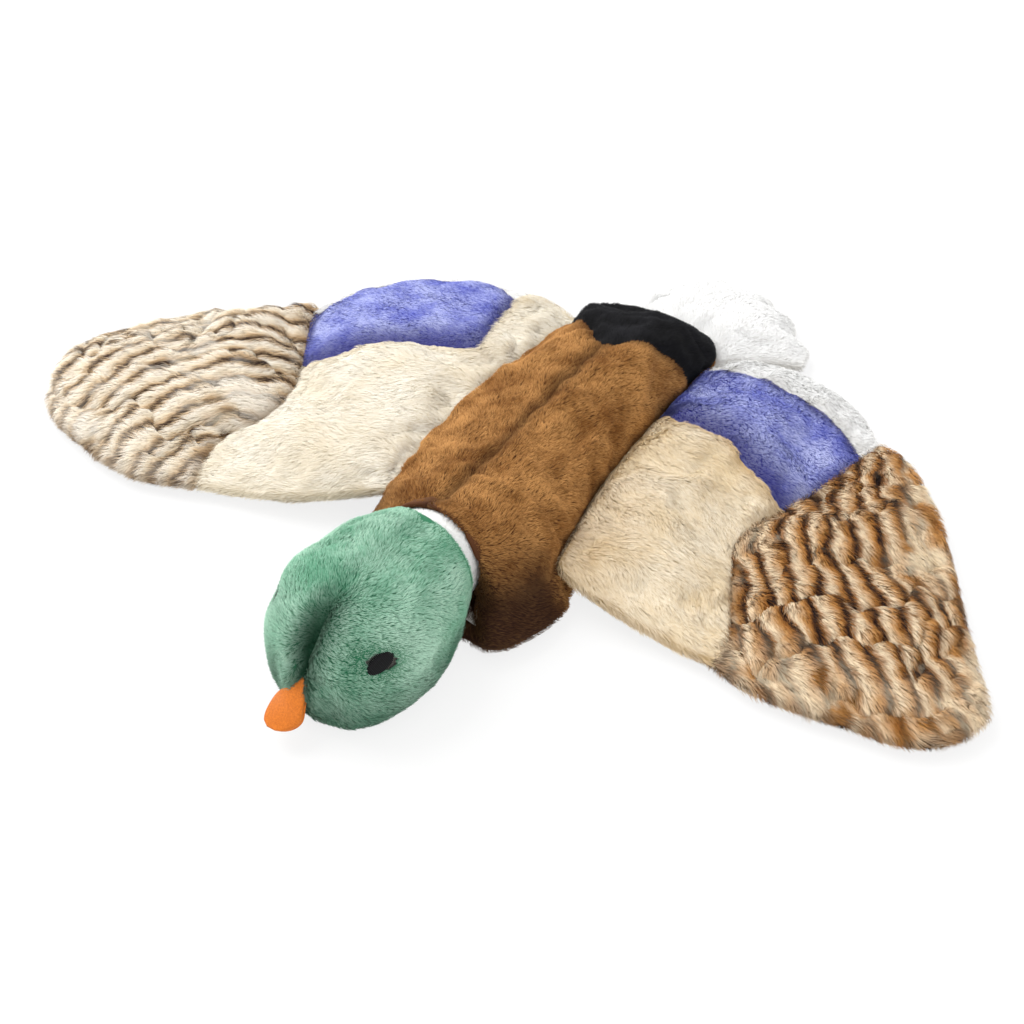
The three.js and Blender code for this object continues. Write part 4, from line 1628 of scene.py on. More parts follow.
    def stuffing(self, loft: Loft, surface: Surface) -> tuple[Array, Array]:
        """Gives the filling's mesh, kept behind the collar's ball.

        Args:
            loft: The body's form.
            surface: The dressed cloth.

        Returns:
            Its vertices and triangles.
        """
        place, faces = loft.filling(surface, self.stuffing_depth)
        x, y, z = (place - np.array(self.neck)).T
        reach, across = (self.socket + 5) ** 2, x**2 + z**2
        behind = np.sqrt(np.maximum(reach - across, 0)) + 2.0
        y = np.where((y < 40) & (across < reach), np.maximum(y, behind), y)
        z = np.where(y < 45, np.clip(z, -24.0, 12.0), z)
        return np.stack([x, y, z], 1) + np.array(self.neck), faces

    def build(self) -> None:
        """Makes the body's panels and its filling."""
        loft = self.loft()
        surface = loft.surface(self.room, self.held, self.soften)
        above, belly = surface.split(self.sew(surface))
        black, brown = above.split(above.values["rump"])
        left, right = brown.split(brown.values["rest"][:, 0])
        x, _, z = self.neck
        hold = Hold("body", "neck", (x, -60.0, z), (x, -97.0, z))
        short = Pile(3.8, droop=0.3)
        for node, cloth, finish, pile, seed in (
            ("back_panel_left", left, Finish.BROWN, short, 21),
            ("back_panel_right", right, Finish.BROWN, short, 22),
            ("belly_panel", belly, Finish.BROWN, Pile(3.8, density=2.0), 23),
            ("rump_patch", black, Finish.BLACK, Pile(4.2, droop=0.3), 24),
        ):
            Panel(node, finish, pile).make(cloth, hold, seed)
        make_filling("body_stuffing", *self.stuffing(loft, surface), hold, 0.75)


@dataclass
class Neck:
    """The white collar, a round band of pile cloth."""

    pivot: Point = NECK
    radius: float = 29.0
    width: float = 38.0
    set_in: float = 2.0
    stuffing_set_in: float = 6.0
    rings: int = 17
    steps: int = 72

    def band(self, radius: float, half: float) -> Array:
        """Gives a grid over a round band about the neck's axis.

        Args:
            radius: The ball's radius.
            half: Half of the band's width.

        Returns:
            Rings by steps by coordinates.
        """
        y = np.linspace(-half, half, self.rings)[:, None]
        angle = 2 * np.pi * np.arange(self.steps) / self.steps
        out = np.sqrt(radius**2 - y**2)
        x, z = out * np.cos(angle), -out * np.sin(angle)
        return np.dstack([x, np.broadcast_to(y, x.shape), z]) + np.array(self.pivot)

    def build(self) -> None:
        """Makes the collar and its filling."""
        rest = self.band(self.radius - self.set_in, self.width / 2).reshape(-1, 3)
        rest[:, 2] = np.maximum(rest[:, 2], 1.5)
        values = {
            "place": rest,
            "rest": rest,
            "uv": grid_shares(self.rings, self.steps),
            "comb": np.tile([0.0, 1.0, 0.0], (len(rest), 1)),
            "grow": 0.35 + 0.65 * smooth(rest[:, 2] - self.pivot[2], -8, 8),
        }
        surface = Surface(values, grid_faces(self.rings, self.steps, True)[:, ::-1])
        dress(surface, np.full(len(rest), 50.0), 0.0, 0.5, 31)
        hold = Hold("neck")
        Panel("neck_collar", Finish.WHITE, Pile(2.6, lift=18), 0.7).make(surface, hold, 31)
        core = self.band(self.radius - self.stuffing_set_in, self.width / 2 - 1.6)
        front, rear = (core[k].mean(0) + (core[k] - core[k].mean(0)) * 0.02 for k in (0, -1))
        place = np.stack([front, *core, rear])
        faces = grid_faces(*place.shape[:2], True)[:, ::-1]
        make_filling("neck_stuffing", place.reshape(-1, 3), faces, hold, 0.75)


@dataclass
class Head:
    """The green head with its median seam, stitched eyes and felt bill.

    Each row of shares gives a cross-section: its place, its width and top as shares of
    the largest, its low, and how far it leans back.
    """

    pivot: Point = NECK
    heading: float = 6.0
    length: float = 100.0
    half_width: float = 45.0
    top: float = 73.0
    socket: float = 29.6
    set_in: float = 2.2
    stuffing_depth: float = 6.0
    stuffing_gap: float = 4.0
    shares: tuple[tuple[float, ...], ...] = (
        (0.045, 0.71, 0.945, 0.13, 1.00),
        (0.080, 0.745, 0.96, 0.105, 1.00),
        (0.15, 0.82, 0.98, 0.05, 0.80),
        (0.25, 0.91, 1.00, 0.02, 0.50),
        (0.40, 0.98, 1.00, 0.00, 0.15),
        (0.60, 1.00, 0.99, 0.00, 0.00),
        (0.77, 0.90, 0.89, 0.00, 0.00),
        (0.89, 0.70, 0.73, 0.03, 0.00),
        (0.96, 0.44, 0.55, 0.10, 0.00),
        (1.00, 0.22, 0.40, 0.18, 0.00),
    )
    eye_length: float = 15.0
    eye_height: float = 9.5
    eye_set_back: float = 27.0
    eye_z: float = 48.0
    eye_dimple: float = 2.6
    stitches: int = 19
    bill_width: float = 21.5
    bill_length: float = 28.0
    bill_root: float = 0.3
    bill_z: float = 27.0
    bill_set_in: float = 8.0
    bill_droop: float = 42.0
    bill_turn: float = 10.0
    bill_x: float = 1.5
    felt: float = 1.6
    felt_rim: float = 0.8
    bill_arch: float = 2.6
    bill_upturn: float = 0.022

    def turned(self, vectors: Array) -> Array:
        """Turns directions from the head's frame to the duck's."""
        return vectors @ self.turn().T

    def turn(self) -> Array:
        """Gives the turn from the head's frame to the duck's."""
        a = -math.radians(self.heading)
        return np.array([[math.cos(a), -math.sin(a), 0], [math.sin(a), math.cos(a), 0], [0, 0, 1]])

    def to_duck(self, points: Array) -> Array:
        """Moves points from the head's frame to the duck's."""
        return self.turned(points) + np.array(self.pivot)

    def to_head(self, points: Array) -> Array:
        """Moves points from the duck's frame to the head's."""
        return (points - np.array(self.pivot)) @ self.turn()

    def loft(self) -> Loft:
        """Shapes the head about the neck's pivot, drawn in by the pile's depth.

        Returns:
            Its form.
        """
        rows = []
        for place, width, top, under, follow in reversed(self.shares):
            low = under * self.top + 0.6 - self.pivot[2]
            high = top * self.top - self.pivot[2] - self.set_in
            y = -place * self.length + self.set_in * 0.5
            half = width * self.half_width - self.set_in
            rows.append([y, 0, half, low, (low + high) / 2, high, 0, follow])
        fill = Stuffing(spare=0.02, cap_mm=2.0)
        return Loft("head", np.array(rows), rise_lean=0.04, steps=52, fill=fill)

    def off_neck(self, points: Array, margin: float = 0.0) -> Array:
        """Keeps points in front of the neck's ball.

        Args:
            points: The points.
            margin: How far from the ball they keep.

        Returns:
            The points, moved.
        """
        reach = (self.socket + margin) ** 2
        x, y, z = points.T
        across = x**2 + z**2
        limit = -np.sqrt(np.maximum(reach - across, 0)) - 0.3
        y = np.where((across < reach) & (y > -32), np.minimum(y, limit), y)
        return np.stack([x, y, z], 1)

    def held(self, points: Array) -> Array:
        """Holds the median seam, the neck's edge and the floor."""
        x, y, z = points.T
        return np.clip(np.maximum.reduce([bell(x, 4), smooth(y, -24, -14), (z < -31) * 1.0]), 0, 1)

    def eye(self) -> Pair:
        """Gives how far back and how high the eyes lie in the head's frame."""
        return self.eye_set_back - self.length, self.eye_z - self.pivot[2]

    def sew(self, surface: Surface) -> None:
        """Sinks the seam, combs the pile, paints shade in the crease, round the eyes and low on the
        head, and paints highlights on the far lobe and the cheek.

        Args:
            surface: The head's cloth, changed in place and moved to the duck's frame.
        """
        local = surface.values["rest"].copy()
        x, y, z = local.T
        eye_y, eye_z = self.eye()
        forward, seam = smooth(-y, 55, 90), np.abs(x)
        comb = [
            np.sign(x) * (0.25 + 1.6 * forward * bell(seam, 15)),
            1.0 - 0.6 * forward,
            -0.15 - 0.2 * smooth(seam, 10, 40),
        ]
        around = ((y - eye_y) / 10) ** 2 + ((z - eye_z) / 7.5) ** 2
        grow = np.where(x > 0, 0.3 + 0.7 * smooth(around, 0.6, 2.2), 1.0)
        # Painted highlights: the far lobe and the cheek behind the eye, lightened through the fade
        # value.
        lobe = 0.5 * forward * smooth(-x, 8, 26)
        cheek_highlight = 0.5 * bell(y + 53, 14) * bell(z - 4, 16) * (x > 20)
        surface.values.update(
            place=self.to_duck(surface.place),
            rest=self.to_duck(local),
            comb=self.turned(np.stack(comb, 1)),
            local=local,
            grow=grow * (0.35 + 0.65 * smooth(-y, 2, 15)),
            fade=np.maximum(lobe, cheek_highlight),
        )
        depth = 0.8 + 7.5 * forward * (z > -20)
        dress(surface, seam / (1 + 0.15 * forward), depth, 0.5, 41)
        dimple = bell(y - eye_y, 9) * bell(z - eye_z, 7)
        sunk = surface.values["normal"] * (self.eye_dimple * dimple)[:, None]
        surface.values["place"] = surface.place - sunk
        surface.values["normal"] = vertex_normals(surface.place, surface.faces)
        # Painted shade: in the crease, in a wedge beside it on the near side, round the eyes and
        # low on the head.
        fold = smooth(-y, 54, 78) * bell(x - 2, np.where(x > 2, 10.0, 4.0)) * smooth(z, -36, -16)
        low = 0.85 * (1 - smooth(z, -30, 14))
        crease = surface.values["seam"] * (0.25 + 0.85 * forward)
        surface.values["seam"] = np.maximum.reduce([crease, 1.1 * fold, 0.7 * dimple, low])

    def build(self) -> None:
        """Makes the head's panels, filling, eyes and bill."""
        loft = self.loft()
        surface = loft.surface(self.off_neck, self.held)
        self.sew(surface)
        x, y, z = self.pivot
        hold = Hold("neck", "head", (x, y - 8, z), (x - 3, y - 32, z))
        left, right = surface.split(surface.values["local"][:, 0])
        fur = Pile(3.8, density=4.4, lift=26, droop=0.3)
        eye_y, eye_z = self.eye()
        for name, part, hole, seed in (("left", left, 1.0, 42), ("right", right, 0.5, 43)):
            local = part.values["local"]
            bare = (local[:, 1] - eye_y) ** 2 / (self.eye_length / 2) ** 2
            bare = bare + (local[:, 2] - eye_z) ** 2 / (self.eye_height / 2) ** 2
            self.make_eye(name, part, int(bare.argmin()))
            cloth = part.keep(part.faces[(bare[part.faces] > hole).any(1)])
            Panel("head_panel_" + name, Finish.GREEN, fur, 0.8).make(cloth, hold, seed)
        place, faces = loft.filling(surface, self.stuffing_depth)
        place = self.to_duck(self.off_neck(self.to_head(place), self.stuffing_gap))
        make_filling("head_stuffing", place, faces, hold, 0.8)
        self.make_bill()

    def make_eye(self, name: str, skin: Surface, spot: int) -> None:
        """Makes one eye of satin stitches.

        Args:
            name: The duck's side.
            skin: The head's panel on that side.
            spot: The panel's vertex at the eye's middle.
        """
        middle, out = skin.place[spot], skin.values["normal"][spot]
        long = unit(self.turned(np.array([0.0, -1.0, -0.25])))
        long = unit(long - (long @ out) * out)
        short = np.cross(out, long)
        around, across = 7, 9
        angle = 2 * np.pi * np.arange(around) / around
        radius = 0.5 * self.eye_length / self.stitches * 1.15
        ring = long * np.cos(angle)[:, None] * radius + out * np.sin(angle)[:, None] * radius * 0.8
        place, faces = [], []
        for k in range(self.stitches):
            where = -1 + 2 * (k + 0.5) / self.stitches
            reach = math.sqrt(max(1 - where**2, 0.02))
            u = np.linspace(-reach, reach, across)
            dome = 0.5 + 1.1 * np.sqrt(np.clip(1 - where**2 - u**2, 0, 1))
            centre = middle + long * (where * self.eye_length / 2)
            centre = centre + short * (u * self.eye_height / 2)[:, None] + out * dome[:, None]
            tube = (centre[:, None, :] + ring[None]).reshape(-1, 3)
            for end, rim in ((centre[0], slice(0, around)), (centre[-1], slice(-around, None))):
                tube[rim] = end + (tube[rim] - end) * 0.3 - out * 0.6
            faces.append(grid_faces(across, around, True) + k * len(tube))
            place.append(tube)
        points, triangles = np.concatenate(place), np.concatenate(faces)
        flat = (points - middle) @ np.stack([long, short], 1)
        uv = flat / np.array([self.eye_length, self.eye_height]) + 0.5
        finish, values = Finish.THREAD.value, {"root_mm": points}
        eye = mesh_object(f"eye_{name}_stitches", points, triangles, finish, values, uv)
        Hold("head").take(eye, "eye_" + name)

    def make_bill(self) -> None:
        """Makes the bill's two layers of felt, with rounded edges."""
        spin = Euler((math.radians(self.bill_droop), 0, -math.radians(self.bill_turn)), "XYZ")
        turn = np.array(spin.to_matrix())
        start = np.array([self.bill_x, self.bill_set_in - self.length, self.bill_z - self.pivot[2]])
        rows, columns = 29, 25
        v, u = np.meshgrid(np.linspace(0, 1, rows), np.linspace(-1, 1, columns), indexing="ij")
        broad = self.bill_width / 2
        straight, down = self.bill_length - broad, v * self.bill_length
        past = np.clip((down - straight) / broad, 0, 1)
        widening = self.bill_root + (1 - self.bill_root) * smooth(down, 0, straight)
        rounding = np.sqrt(np.maximum(1 - past**2, 0.0004))
        half = broad * np.where(past > 0, rounding, widening)
        x = u * half
        rim = np.minimum(half * (1 - np.abs(u)), np.where(past > 0, (1 - past) * 8 + 0.4, 9))
        round_off = np.sqrt(np.clip(rim / self.felt_rim, 0.05, 1))
        arch = self.bill_arch * (1 - (x / 11) ** 2) * smooth(down, 2, 14)
        arch = arch + self.bill_upturn * (down - 16).clip(0) ** 2
        finish = Finish.FELT.value
        for node, low, high in (
            ("bill_top_felt", 0.1, self.felt),
            ("bill_under_felt", -self.felt, -0.1),
        ):
            middle = (low + high) / 2
            top = np.dstack([x, -down, arch + middle + (high - middle) * round_off])
            under = np.dstack([x, -down, arch + middle + (low - middle) * round_off])
            values = {"place": top.reshape(-1, 3), "normal": (top - under).reshape(-1, 3)}
            layer = Surface(values, grid_faces(rows, columns, False))
            flat, faces, _ = thickened(layer, 1.0, floor=-np.inf)
            place = self.to_duck(flat @ turn.T + start)
            uv = (flat[:, :2] - flat[:, :2].min(0)) / np.ptp(flat[:, :2], axis=0)
            piece = mesh_object(node + "_layer", place, faces, finish, {"root_mm": flat}, uv)
            Hold("head").take(piece, node)


@dataclass
class Wing:
    """One wing: an inner section of cream, blue and white pile, and a striped tip.

    Its outline and its seams come as shares of its reach outward and its chord to the
    rear. The lay is the way its pile lies, and the fold way runs across the tip's folds.
    """

    side: int
    reach: float
    shares: dict[str, Sequence[Plan]]
    stripes: Finish
    cream: Finish
    lay: Plan
    fold_way: Plan
    tip_bend: tuple[Point, Point]
    body: Body = field(default_factory=Body)
    root_x: float = 48.0
    front_y: float = -62.0
    chord: float = 198.0
    crown: float = 13.0
    tip_crown: float = 9.0
    keel: float = 6.0
    middle_z: float = 8.65
    hinge: float = 0.8
    root_fall: float = 1.7
    root_bend: Pair = (-1.0, 26.0)
    root_bend_z: float = 21.0
    fold_mm: float = 30.0
    pale_rims: float = 1.0
    fill: float = 0.5

    @property
    def name(self) -> str:
        """The duck's side, in words."""
        return "left" if self.side > 0 else "right"

    def plan(self, part: str) -> Array:
        """Turns the shares of one of the wing's edges or seams to plan points.

        Args:
            part: The edge's or seam's name.

        Returns:
            The points.
        """
        out, back = np.array(self.shares[part], float).T
        x = self.side * (self.root_x + out * self.reach)
        return np.stack([x, self.front_y + back * self.chord], 1)

    def root(self) -> Array:
        """Follows the seam at the body.

        Returns:
            Its plan points.
        """
        place, leans, halves = self.body.edge()
        y = self.front_y + np.linspace(0, 1, 9) * self.chord
        half = np.interp(y, place, halves)
        return np.stack([np.interp(y, place, leans) + self.side * (half + self.hinge), y], 1)

    def comb(self, rest: Array) -> Array:
        """The pile lies outward and to the front."""
        return np.tile([self.side * self.lay[0], self.lay[1], 0.0], (len(rest), 1))

    def build(self) -> None:
        """Makes the wing's two sections."""
        seam = self.plan("seam")
        self.build_inner(seam)
        self.build_tip(seam + np.array([self.side * self.hinge, 0]))

    def build_inner(self, seam: Array) -> None:
        """Makes the inner section.

        Args:
            seam: The plan points of the seam at the tip.
        """
        root = self.root()
        (_, z0), (_, z1) = self.body.flank_front, self.body.flank_rear

        def middle(s: Array, t: Array) -> Array:
            """Falls from the side seam's height to the wing's own."""
            rise = z0 + (z1 - z0) * t - self.middle_z
            return self.middle_z + rise * (1 - s) ** self.root_fall

        pillow = Pillow(
            "wing_" + self.name,
            front=Curve.through(root[:1], self.plan("front"), seam[:1]),
            rear=Curve.through(root[-1:], self.plan("rear"), seam[-1:]),
            inner=Curve.through(root),
            outer=Curve.through(seam),
            middle=middle, crown=self.crown, keel=self.keel, root_power=0.75, end_power=1.0,
            turned=self.side < 0,
        )
        front, back = self.plan("blue_front"), self.plan("blue_rear")
        far = self.front_y + 1.4 * self.chord
        blue = np.concatenate([front, back])
        outside = [(back[-1][0], far), (self.side * 400, far), (self.side * 400, back[0][1])]
        band = np.concatenate([back, np.array(outside)])

        def seams(points: Array) -> Array:
            """Distance to the blue panel's and the white band's seams."""
            return np.minimum(*(np.abs(outline_side(points, edge)) for edge in (blue, band)))

        top, under = pillow.surfaces(seams, self.comb)
        plain = top.values["rest"][:, :2]
        seam_mm = np.minimum(seams(plain), top.values["rim_mm"] + 2.0)
        dress(top, seam_mm, 1.6, 0.6, 51 + self.side, calm=9.0)
        dress(under, under.values["rim_mm"] + 2.0, 0.5, 0.4, 57 + self.side, calm=9.0)
        out, to_rear = top.values["fan"].T
        in_blue = outline_side(plain, blue)
        # Painted shade: dark along the blue's front seam, and tan near the body on the near wing.
        border_shade = np.abs(outline_side(plain, np.concatenate([front, front[::-1]])))
        border_shade = bell(border_shade, 15) * (in_blue > -0.5)
        tan = 0.65 * (1 - smooth(out, 0.0, 0.6)) * (1 - smooth(to_rear, 0.15, 0.6))
        tan = tan * (self.side > 0)
        top.values["seam"] = np.maximum.reduce([top.values["seam"], border_shade, tan])
        top.values["band"] = outline_side(plain, band)
        speculum, other = top.split(in_blue)
        white, shoulder = other.split(other.values["band"])
        x, y = root[len(root) // 2].tolist()
        start, end = ((x + self.side * k, y, self.root_bend_z) for k in self.root_bend)
        hold = Hold("body", "wing_" + self.name, start, end)
        long = Pile(6.5, density=4.4, lift=16, stray=0.2, lock_mm=4, lock_share=0.2, droop=1.3)
        thin = Pile(5.5, density=3.4, lift=20, lock_share=0.2, droop=1.0)
        parts = (
            ("shoulder", shoulder, self.cream, long),
            ("speculum", speculum, Finish.BLUE, Pile(3.6, density=5.0, lift=28, droop=1.3)),
            ("band", white, Finish.WHITE, Pile(4.6, density=5.0, lift=24, droop=1.3)),
            ("under", under, self.cream, thin),
        )
        for seed, (part, cloth, finish, pile) in enumerate(parts, 60 + 5 * self.side):
            Panel(f"wing_{part}_{self.name}", finish, pile, self.fill).make(cloth, hold, seed)
        wadding = pillow.filling(top, under)
        make_filling(f"wing_wadding_{self.name}", *wadding, hold, self.fill)

    def build_tip(self, seam: Array) -> None:
        """Makes the striped tip.

        Args:
            seam: The plan points of its own edge at the seam.
        """
        outer = self.plan("outer")
        pillow = Pillow(
            "tip_" + self.name,
            front=Curve.through(seam[:1], self.plan("tip_front"), outer[:1]),
            rear=Curve.through(seam[-1:], outer[-1:]),
            inner=Curve.through(seam),
            outer=Curve.through(outer),
            middle=lambda s, t: np.full(s.shape, self.middle_z),
            crown=self.tip_crown, keel=self.keel, root_power=0.8, end_power=0.8,
            turned=self.side < 0,
        )
        to_front = np.array([0.0, -0.15, 0.0])
        top, under = pillow.surfaces(no_seams, lambda rest: self.comb(rest) + to_front)
        out, back = top.values["fan"].T
        rear = smooth(out, 0.55, 0.78) * smooth(back, 0.35, 0.6)
        fore = 0.5 * (1 - smooth(back, 0.03, 0.2))
        corner = 0.8 * smooth(out, 0.8, 0.95) * (1 - smooth(back, 0.15, 0.35))
        patchy = 0.9 + 0.3 * ripple(top.values["rest"], 24.0, 79)
        fade = np.clip(np.maximum.reduce([rear, fore, corner]) * patchy, 0, 1)
        top.values["fade"] = fade * self.pale_rims
        way = unit(np.array(self.fold_way))
        for surface, depth, folds, seed in ((top, 1.0, 1.3, 73), (under, 0.5, 0.3, 77)):
            rest = surface.values["rest"][:, :2]
            wander = 0.35 * ripple(rest, 55.0, 71) + 0.16 * ripple(rest, 18.0, 72)
            crease = rest @ way / self.fold_mm + wander
            seam_mm = surface.values["rim_mm"] + 2.0
            dress(surface, seam_mm, depth, folds, seed + self.side, crease, calm=10.0)
        hold = Hold("wing_" + self.name, "tip_" + self.name, *self.tip_bend)
        long = Pile(
            8.0,
            width=0.34, density=4.4, lift=18, stray=0.26, lock_mm=4.5, lock_share=0.38, droop=1.3,
        )
        thin = Pile(6.5, width=0.34, density=3.6, lift=20, droop=1.0)
        parts = (("top", top, long), ("under", under, thin))
        for seed, (part, cloth, pile) in enumerate(parts, 80 + 5 * self.side):
            Panel(f"tip_{part}_{self.name}", self.stripes, pile, self.fill).make(cloth, hold, seed)
        wadding = pillow.filling(top, under)
        make_filling(f"tip_wadding_{self.name}", *wadding, hold, self.fill)


def no_seams(points: Array) -> Array:
    """Says that plan points lie far from any seam."""
    return np.full(len(points), 60.0)


@dataclass
class Tail:
    """The white fan with its scalloped edge.

    Its sides and its rear edge come as shares of its spread and its reach to the rear.
    """

    body: Body = field(default_factory=Body)
    spread: float = 92.0
    reach: float = 66.0
    base_half: float = 38.0
    hinge: float = 0.8
    crown: float = 8.0
    keel: float = 5.0
    middle_z: float = 7.65
    scallops: int = 5
    scallop_depth: float = 5.0
    fill: float = 0.5
    side_left: tuple[Plan, ...] = ((-0.40, 0.20),)
    rear: tuple[Plan, ...] = ((-0.25, 0.54), (0.10, 1.08), (0.56, 0.98), (0.92, 0.50), (0.98, 0.24))
    side_right: tuple[Plan, ...] = ((0.72, 0.06),)

    def plan(self, pairs: Sequence[Plan]) -> Array:
        """Turns shares of the spread and the reach to plan points."""
        base_y = self.body.front_y + self.body.length + self.hinge
        return np.array([(a * self.spread, base_y + b * self.reach) for a, b in pairs])

    def base(self) -> Array:
        """Follows the seam at the body.

        Returns:
            Its plan points.
        """
        y, lean, half = self.body.edge()
        x = lean[-1] + np.linspace(-1, 1, 16) * self.base_half
        made = []
        for place in x:
            over = np.abs(place - lean) - half
            if over[-1] <= 0:
                made.append(y[-1])
                continue
            k = int(np.where(over <= 0)[0][-1])
            made.append(y[k] + (y[k + 1] - y[k]) * over[k] / (over[k] - over[k + 1]))
        return np.stack([x, np.array(made) + self.hinge * 1.2], 1)

    def fringe(self) -> Curve:
        """Cuts the scallops into the rear edge.

        Returns:
            The edge.
        """
        share = np.linspace(0, 1, 241)
        edge = Curve.through(self.plan(self.rear)).at(share)
        way = unit(np.gradient(edge, axis=0))
        cut = self.scallop_depth * (1 - np.abs(np.sin(np.pi * self.scallops * share)))
        cut = cut * np.minimum(1, np.minimum(share, 1 - share) * 15)
        return Curve(edge + np.stack([way[:, 1], -way[:, 0]], 1) * cut[:, None], share)

    def build(self) -> None:
        """Makes the tail."""
        base, rear = self.base(), self.plan(self.rear)
        pillow = Pillow(
            "tail",
            front=Curve.through(base[:1], self.plan(self.side_left), rear[:1]),
            rear=Curve.through(base[-1:], self.plan(self.side_right), rear[-1:]),
            inner=Curve.through(base),
            outer=self.fringe(),
            middle=lambda s, t: np.full(s.shape, self.middle_z),
            crown=self.crown, keel=self.keel, root_power=0.9, end_power=0.9, turned=True, rows=12,
            columns=30, finer_by=3,
        )

        def comb(rest: Array) -> Array:
            """The pile fans out to the rear."""
            return np.stack([(rest[:, 0] - 15) / 60, np.ones(len(rest)), np.zeros(len(rest))], 1)

        hold = Hold("body", "tail", (8.0, 166.0, 8.0), (12.0, 186.0, 8.0))
        top, under = pillow.surfaces(no_seams, comb)
        for surface, folds, seed in ((top, 0.7, 91), (under, 0.3, 95)):
            dress(surface, surface.values["rim_mm"] + 2.0, 0.8, folds, seed, calm=8.0)
        parts = (("top", top, 4.6, 22), ("under", under, 3.4, 18))
        for seed, (part, cloth, density, lift) in enumerate(parts, 92):
            pile = Pile(4.6, density=density, lift=lift, droop=1.0)
            Panel(f"tail_{part}_panel", Finish.WHITE, pile, self.fill).make(cloth, hold, seed)
        make_filling("tail_wadding", *pillow.filling(top, under), hold, self.fill)


LEFT_SHARES: dict[str, Sequence[Plan]] = {
    "front": ((0.085, -0.015), (0.200, -0.022)),
    "seam": (
        (0.452, -0.015), (0.440, 0.085), (0.395, 0.212), (0.340, 0.365), (0.345, 0.490),
        (0.385, 0.580), (0.460, 0.860), (0.484, 1.000),
    ),
    "rear": ((0.035, 1.085), (0.105, 1.135), (0.200, 1.158), (0.310, 1.142), (0.410, 1.085)),
    "tip_front": ((0.570, -0.035), (0.745, -0.010), (0.880, 0.020), (0.965, 0.085)),
    "outer": (
        (1.005, 0.200), (0.975, 0.265), (0.885, 0.439), (0.795, 0.631), (0.690, 0.818),
        (0.578, 0.965),
    ),
    "blue_front": (
        (-0.060, 0.700), (0.060, 0.675), (0.150, 0.690), (0.257, 0.624), (0.400, 0.578),
    ),
    "blue_rear": (
        (0.482, 0.905), (0.400, 0.955), (0.325, 0.988), (0.240, 1.007), (0.118, 1.000),
        (-0.060, 1.010),
    ),
}
RIGHT_SHARES: dict[str, Sequence[Plan]] = {
    "front": ((0.110, -0.075), (0.225, -0.145)),
    "seam": (
        (0.420, -0.222), (0.453, -0.136), (0.470, -0.030), (0.440, 0.070), (0.436, 0.200),
        (0.478, 0.335), (0.590, 0.565), (0.612, 0.650),
    ),
    "rear": ((0.087, 1.050), (0.173, 1.055), (0.331, 1.025), (0.461, 0.940), (0.567, 0.800)),
    "tip_front": ((0.575, -0.285), (0.740, -0.265), (0.880, -0.215), (0.955, -0.125)),
    "outer": (
        (1.000, 0.010), (1.005, 0.121), (0.945, 0.232), (0.862, 0.384), (0.772, 0.475),
        (0.660, 0.600),
    ),
    "blue_front": (
        (0.114, 0.653), (0.230, 0.597), (0.356, 0.495), (0.429, 0.418), (0.505, 0.360),
    ),
    "blue_rear": (
        (0.604, 0.600), (0.543, 0.797), (0.444, 0.937), (0.323, 1.016), (0.225, 1.025),
        (0.160, 0.950),
    ),
}


# Studio


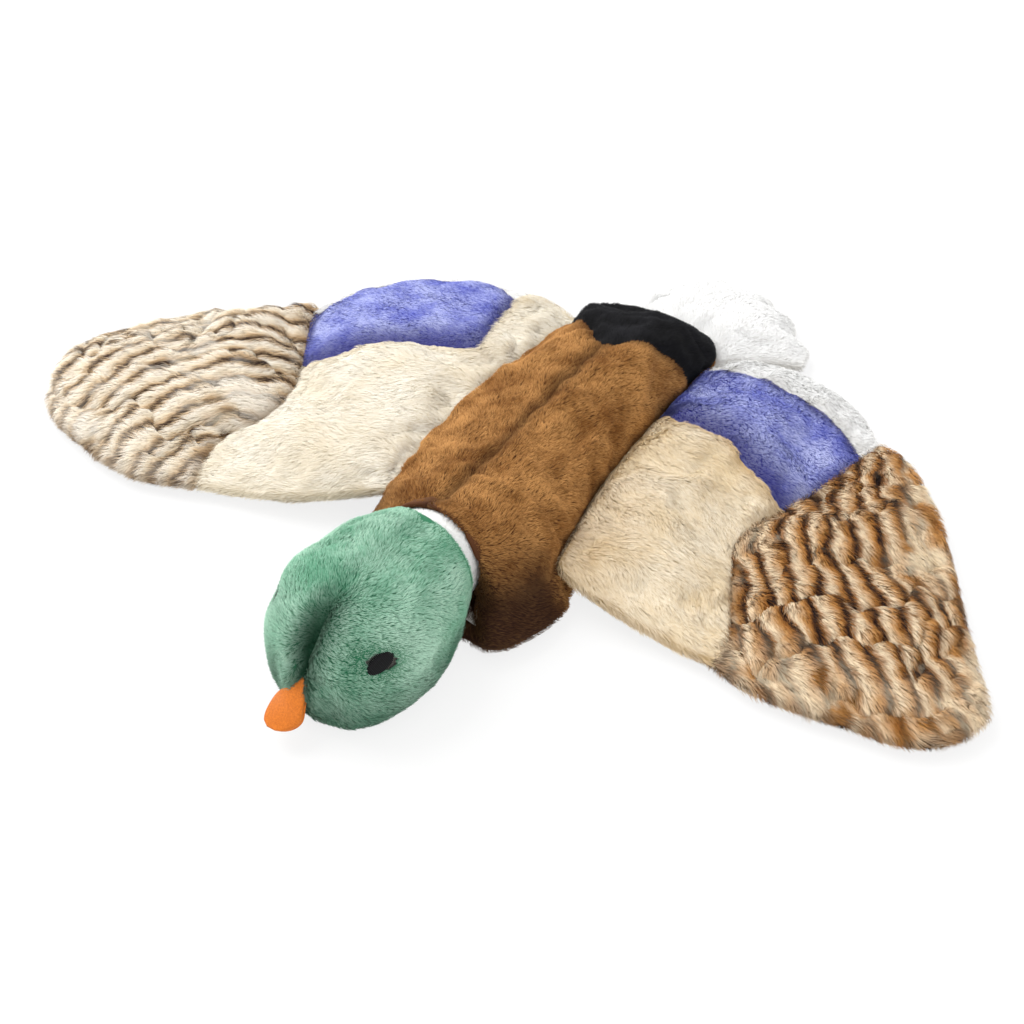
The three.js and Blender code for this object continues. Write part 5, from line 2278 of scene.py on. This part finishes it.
@dataclass
class Studio:
    """The pale floor, the soft lights and the camera.

    The camera sees the floor's own light too and the world whiter than it lights the
    duck. Each lamp has a name, a place and a size in metres, and its watts.
    """

    azimuth: float = 32.71
    elevation: float = 44.14
    distance: float = 759.13
    target: Point = (2.536, -19.84, 0.0)
    lens: float = 46.80
    sensor: float = 36.0
    floor_half_m: float = 30.0
    paper: str = "#f7f7f6"
    paper_glow: float = 0.8
    world_light: float = 0.88
    lamps: tuple[tuple[str, Point, float, float], ...] = (
        ("key_softbox", (-1.1, 0.1, 1.45), 1.3, 29.0),
        ("fill_softbox", (1.3, -0.9, 1.1), 1.2, 6.0),
    )

    def build(self) -> None:
        """Sets up the camera, the floor, the world and the lamps."""
        bpy.context.scene.view_settings.view_transform = "Standard"
        self.camera()
        self.floor()
        self.world()
        for name, spot, size, watts in self.lamps:
            light = bpy.data.lights.new(name, "AREA")
            light.energy, light.size = watts, size
            lamp = put(name, light)
            lamp.location = spot
            lamp.rotation_euler = (-Vector(spot)).to_track_quat("-Z", "Y").to_euler()

    def camera(self) -> None:
        """Puts the camera at the photographed view."""
        a, e = math.radians(self.azimuth), math.radians(self.elevation)
        back = Vector((math.sin(a) * math.cos(e), -math.cos(a) * math.cos(e), math.sin(e)))
        data = bpy.data.cameras.new("camera")
        data.lens, data.sensor_width = self.lens, self.sensor
        camera = put("camera", data)
        camera.location = (Vector(self.target) + back * self.distance) * MM
        camera.rotation_euler = (-back).to_track_quat("-Z", "Y").to_euler()
        bpy.context.scene.camera = camera

    def floor(self) -> None:
        """Lays a white floor that keeps a soft shadow."""
        material, node = new_material("matt_white_paper")
        paper = node("BsdfPrincipled", {"Base Color": linear(self.paper), "Roughness": 1.0})
        glow = node("Emission", {"Color": (1, 1, 1, 1), "Strength": 1.0})
        seen = node("LightPath", output="Is Camera Ray")
        share = node("Math", (seen, self.paper_glow), operation="MULTIPLY")
        node("OutputMaterial", {"Surface": node("MixShader", (share, paper, glow))})
        half = self.floor_half_m
        corners = [(-half, -half, 0), (half, -half, 0), (half, half, 0), (-half, half, 0)]
        mesh = bpy.data.meshes.new("floor")
        mesh.from_pydata(corners, [], [(0, 1, 2, 3)])
        mesh.materials.append(material)
        put("floor", mesh)

    def world(self) -> None:
        """Lights the scene evenly from a white world."""
        world = bpy.data.worlds.new("white_cove")
        world.use_nodes = True
        world.node_tree.nodes.clear()
        node = partial(add_node, world.node_tree)
        seen = node("LightPath", output="Is Camera Ray")
        level = node("MapRange", {"Value": seen, "To Min": self.world_light, "To Max": 1.0})
        background = node("Background", {"Color": (1, 1, 1, 1), "Strength": level})
        node("OutputWorld", {"Surface": background})
        bpy.context.scene.world = world


def main() -> None:
    """Builds the studio and the duck, section by section."""
    logging.basicConfig(level=logging.INFO, format="%(name)s %(message)s")
    Studio().build()
    Body().build()
    Neck().build()
    Head().build()
    Wing(
        1,
        227.0,
        LEFT_SHARES,
        Finish.NEAR_STRIPES,
        Finish.CREAM,
        lay=(0.95, -0.25),
        fold_way=(0.62, -0.78),
        tip_bend=((153.0, 35.0, 8.65), (178.0, 35.0, 8.65)),
    ).build()
    Wing(
        -1,
        254.0,
        RIGHT_SHARES,
        Finish.STRIPES_LIT,
        Finish.CREAM_LIT,
        lay=(0.80, -0.60),
        fold_way=(-0.35, 0.94),
        tip_bend=((-172.0, -25.0, 8.65), (-199.0, -33.0, 8.65)),
        pale_rims=0.5,
        crown=11.0,
    ).build()
    Tail().build()


if __name__ == "__main__":
    main()
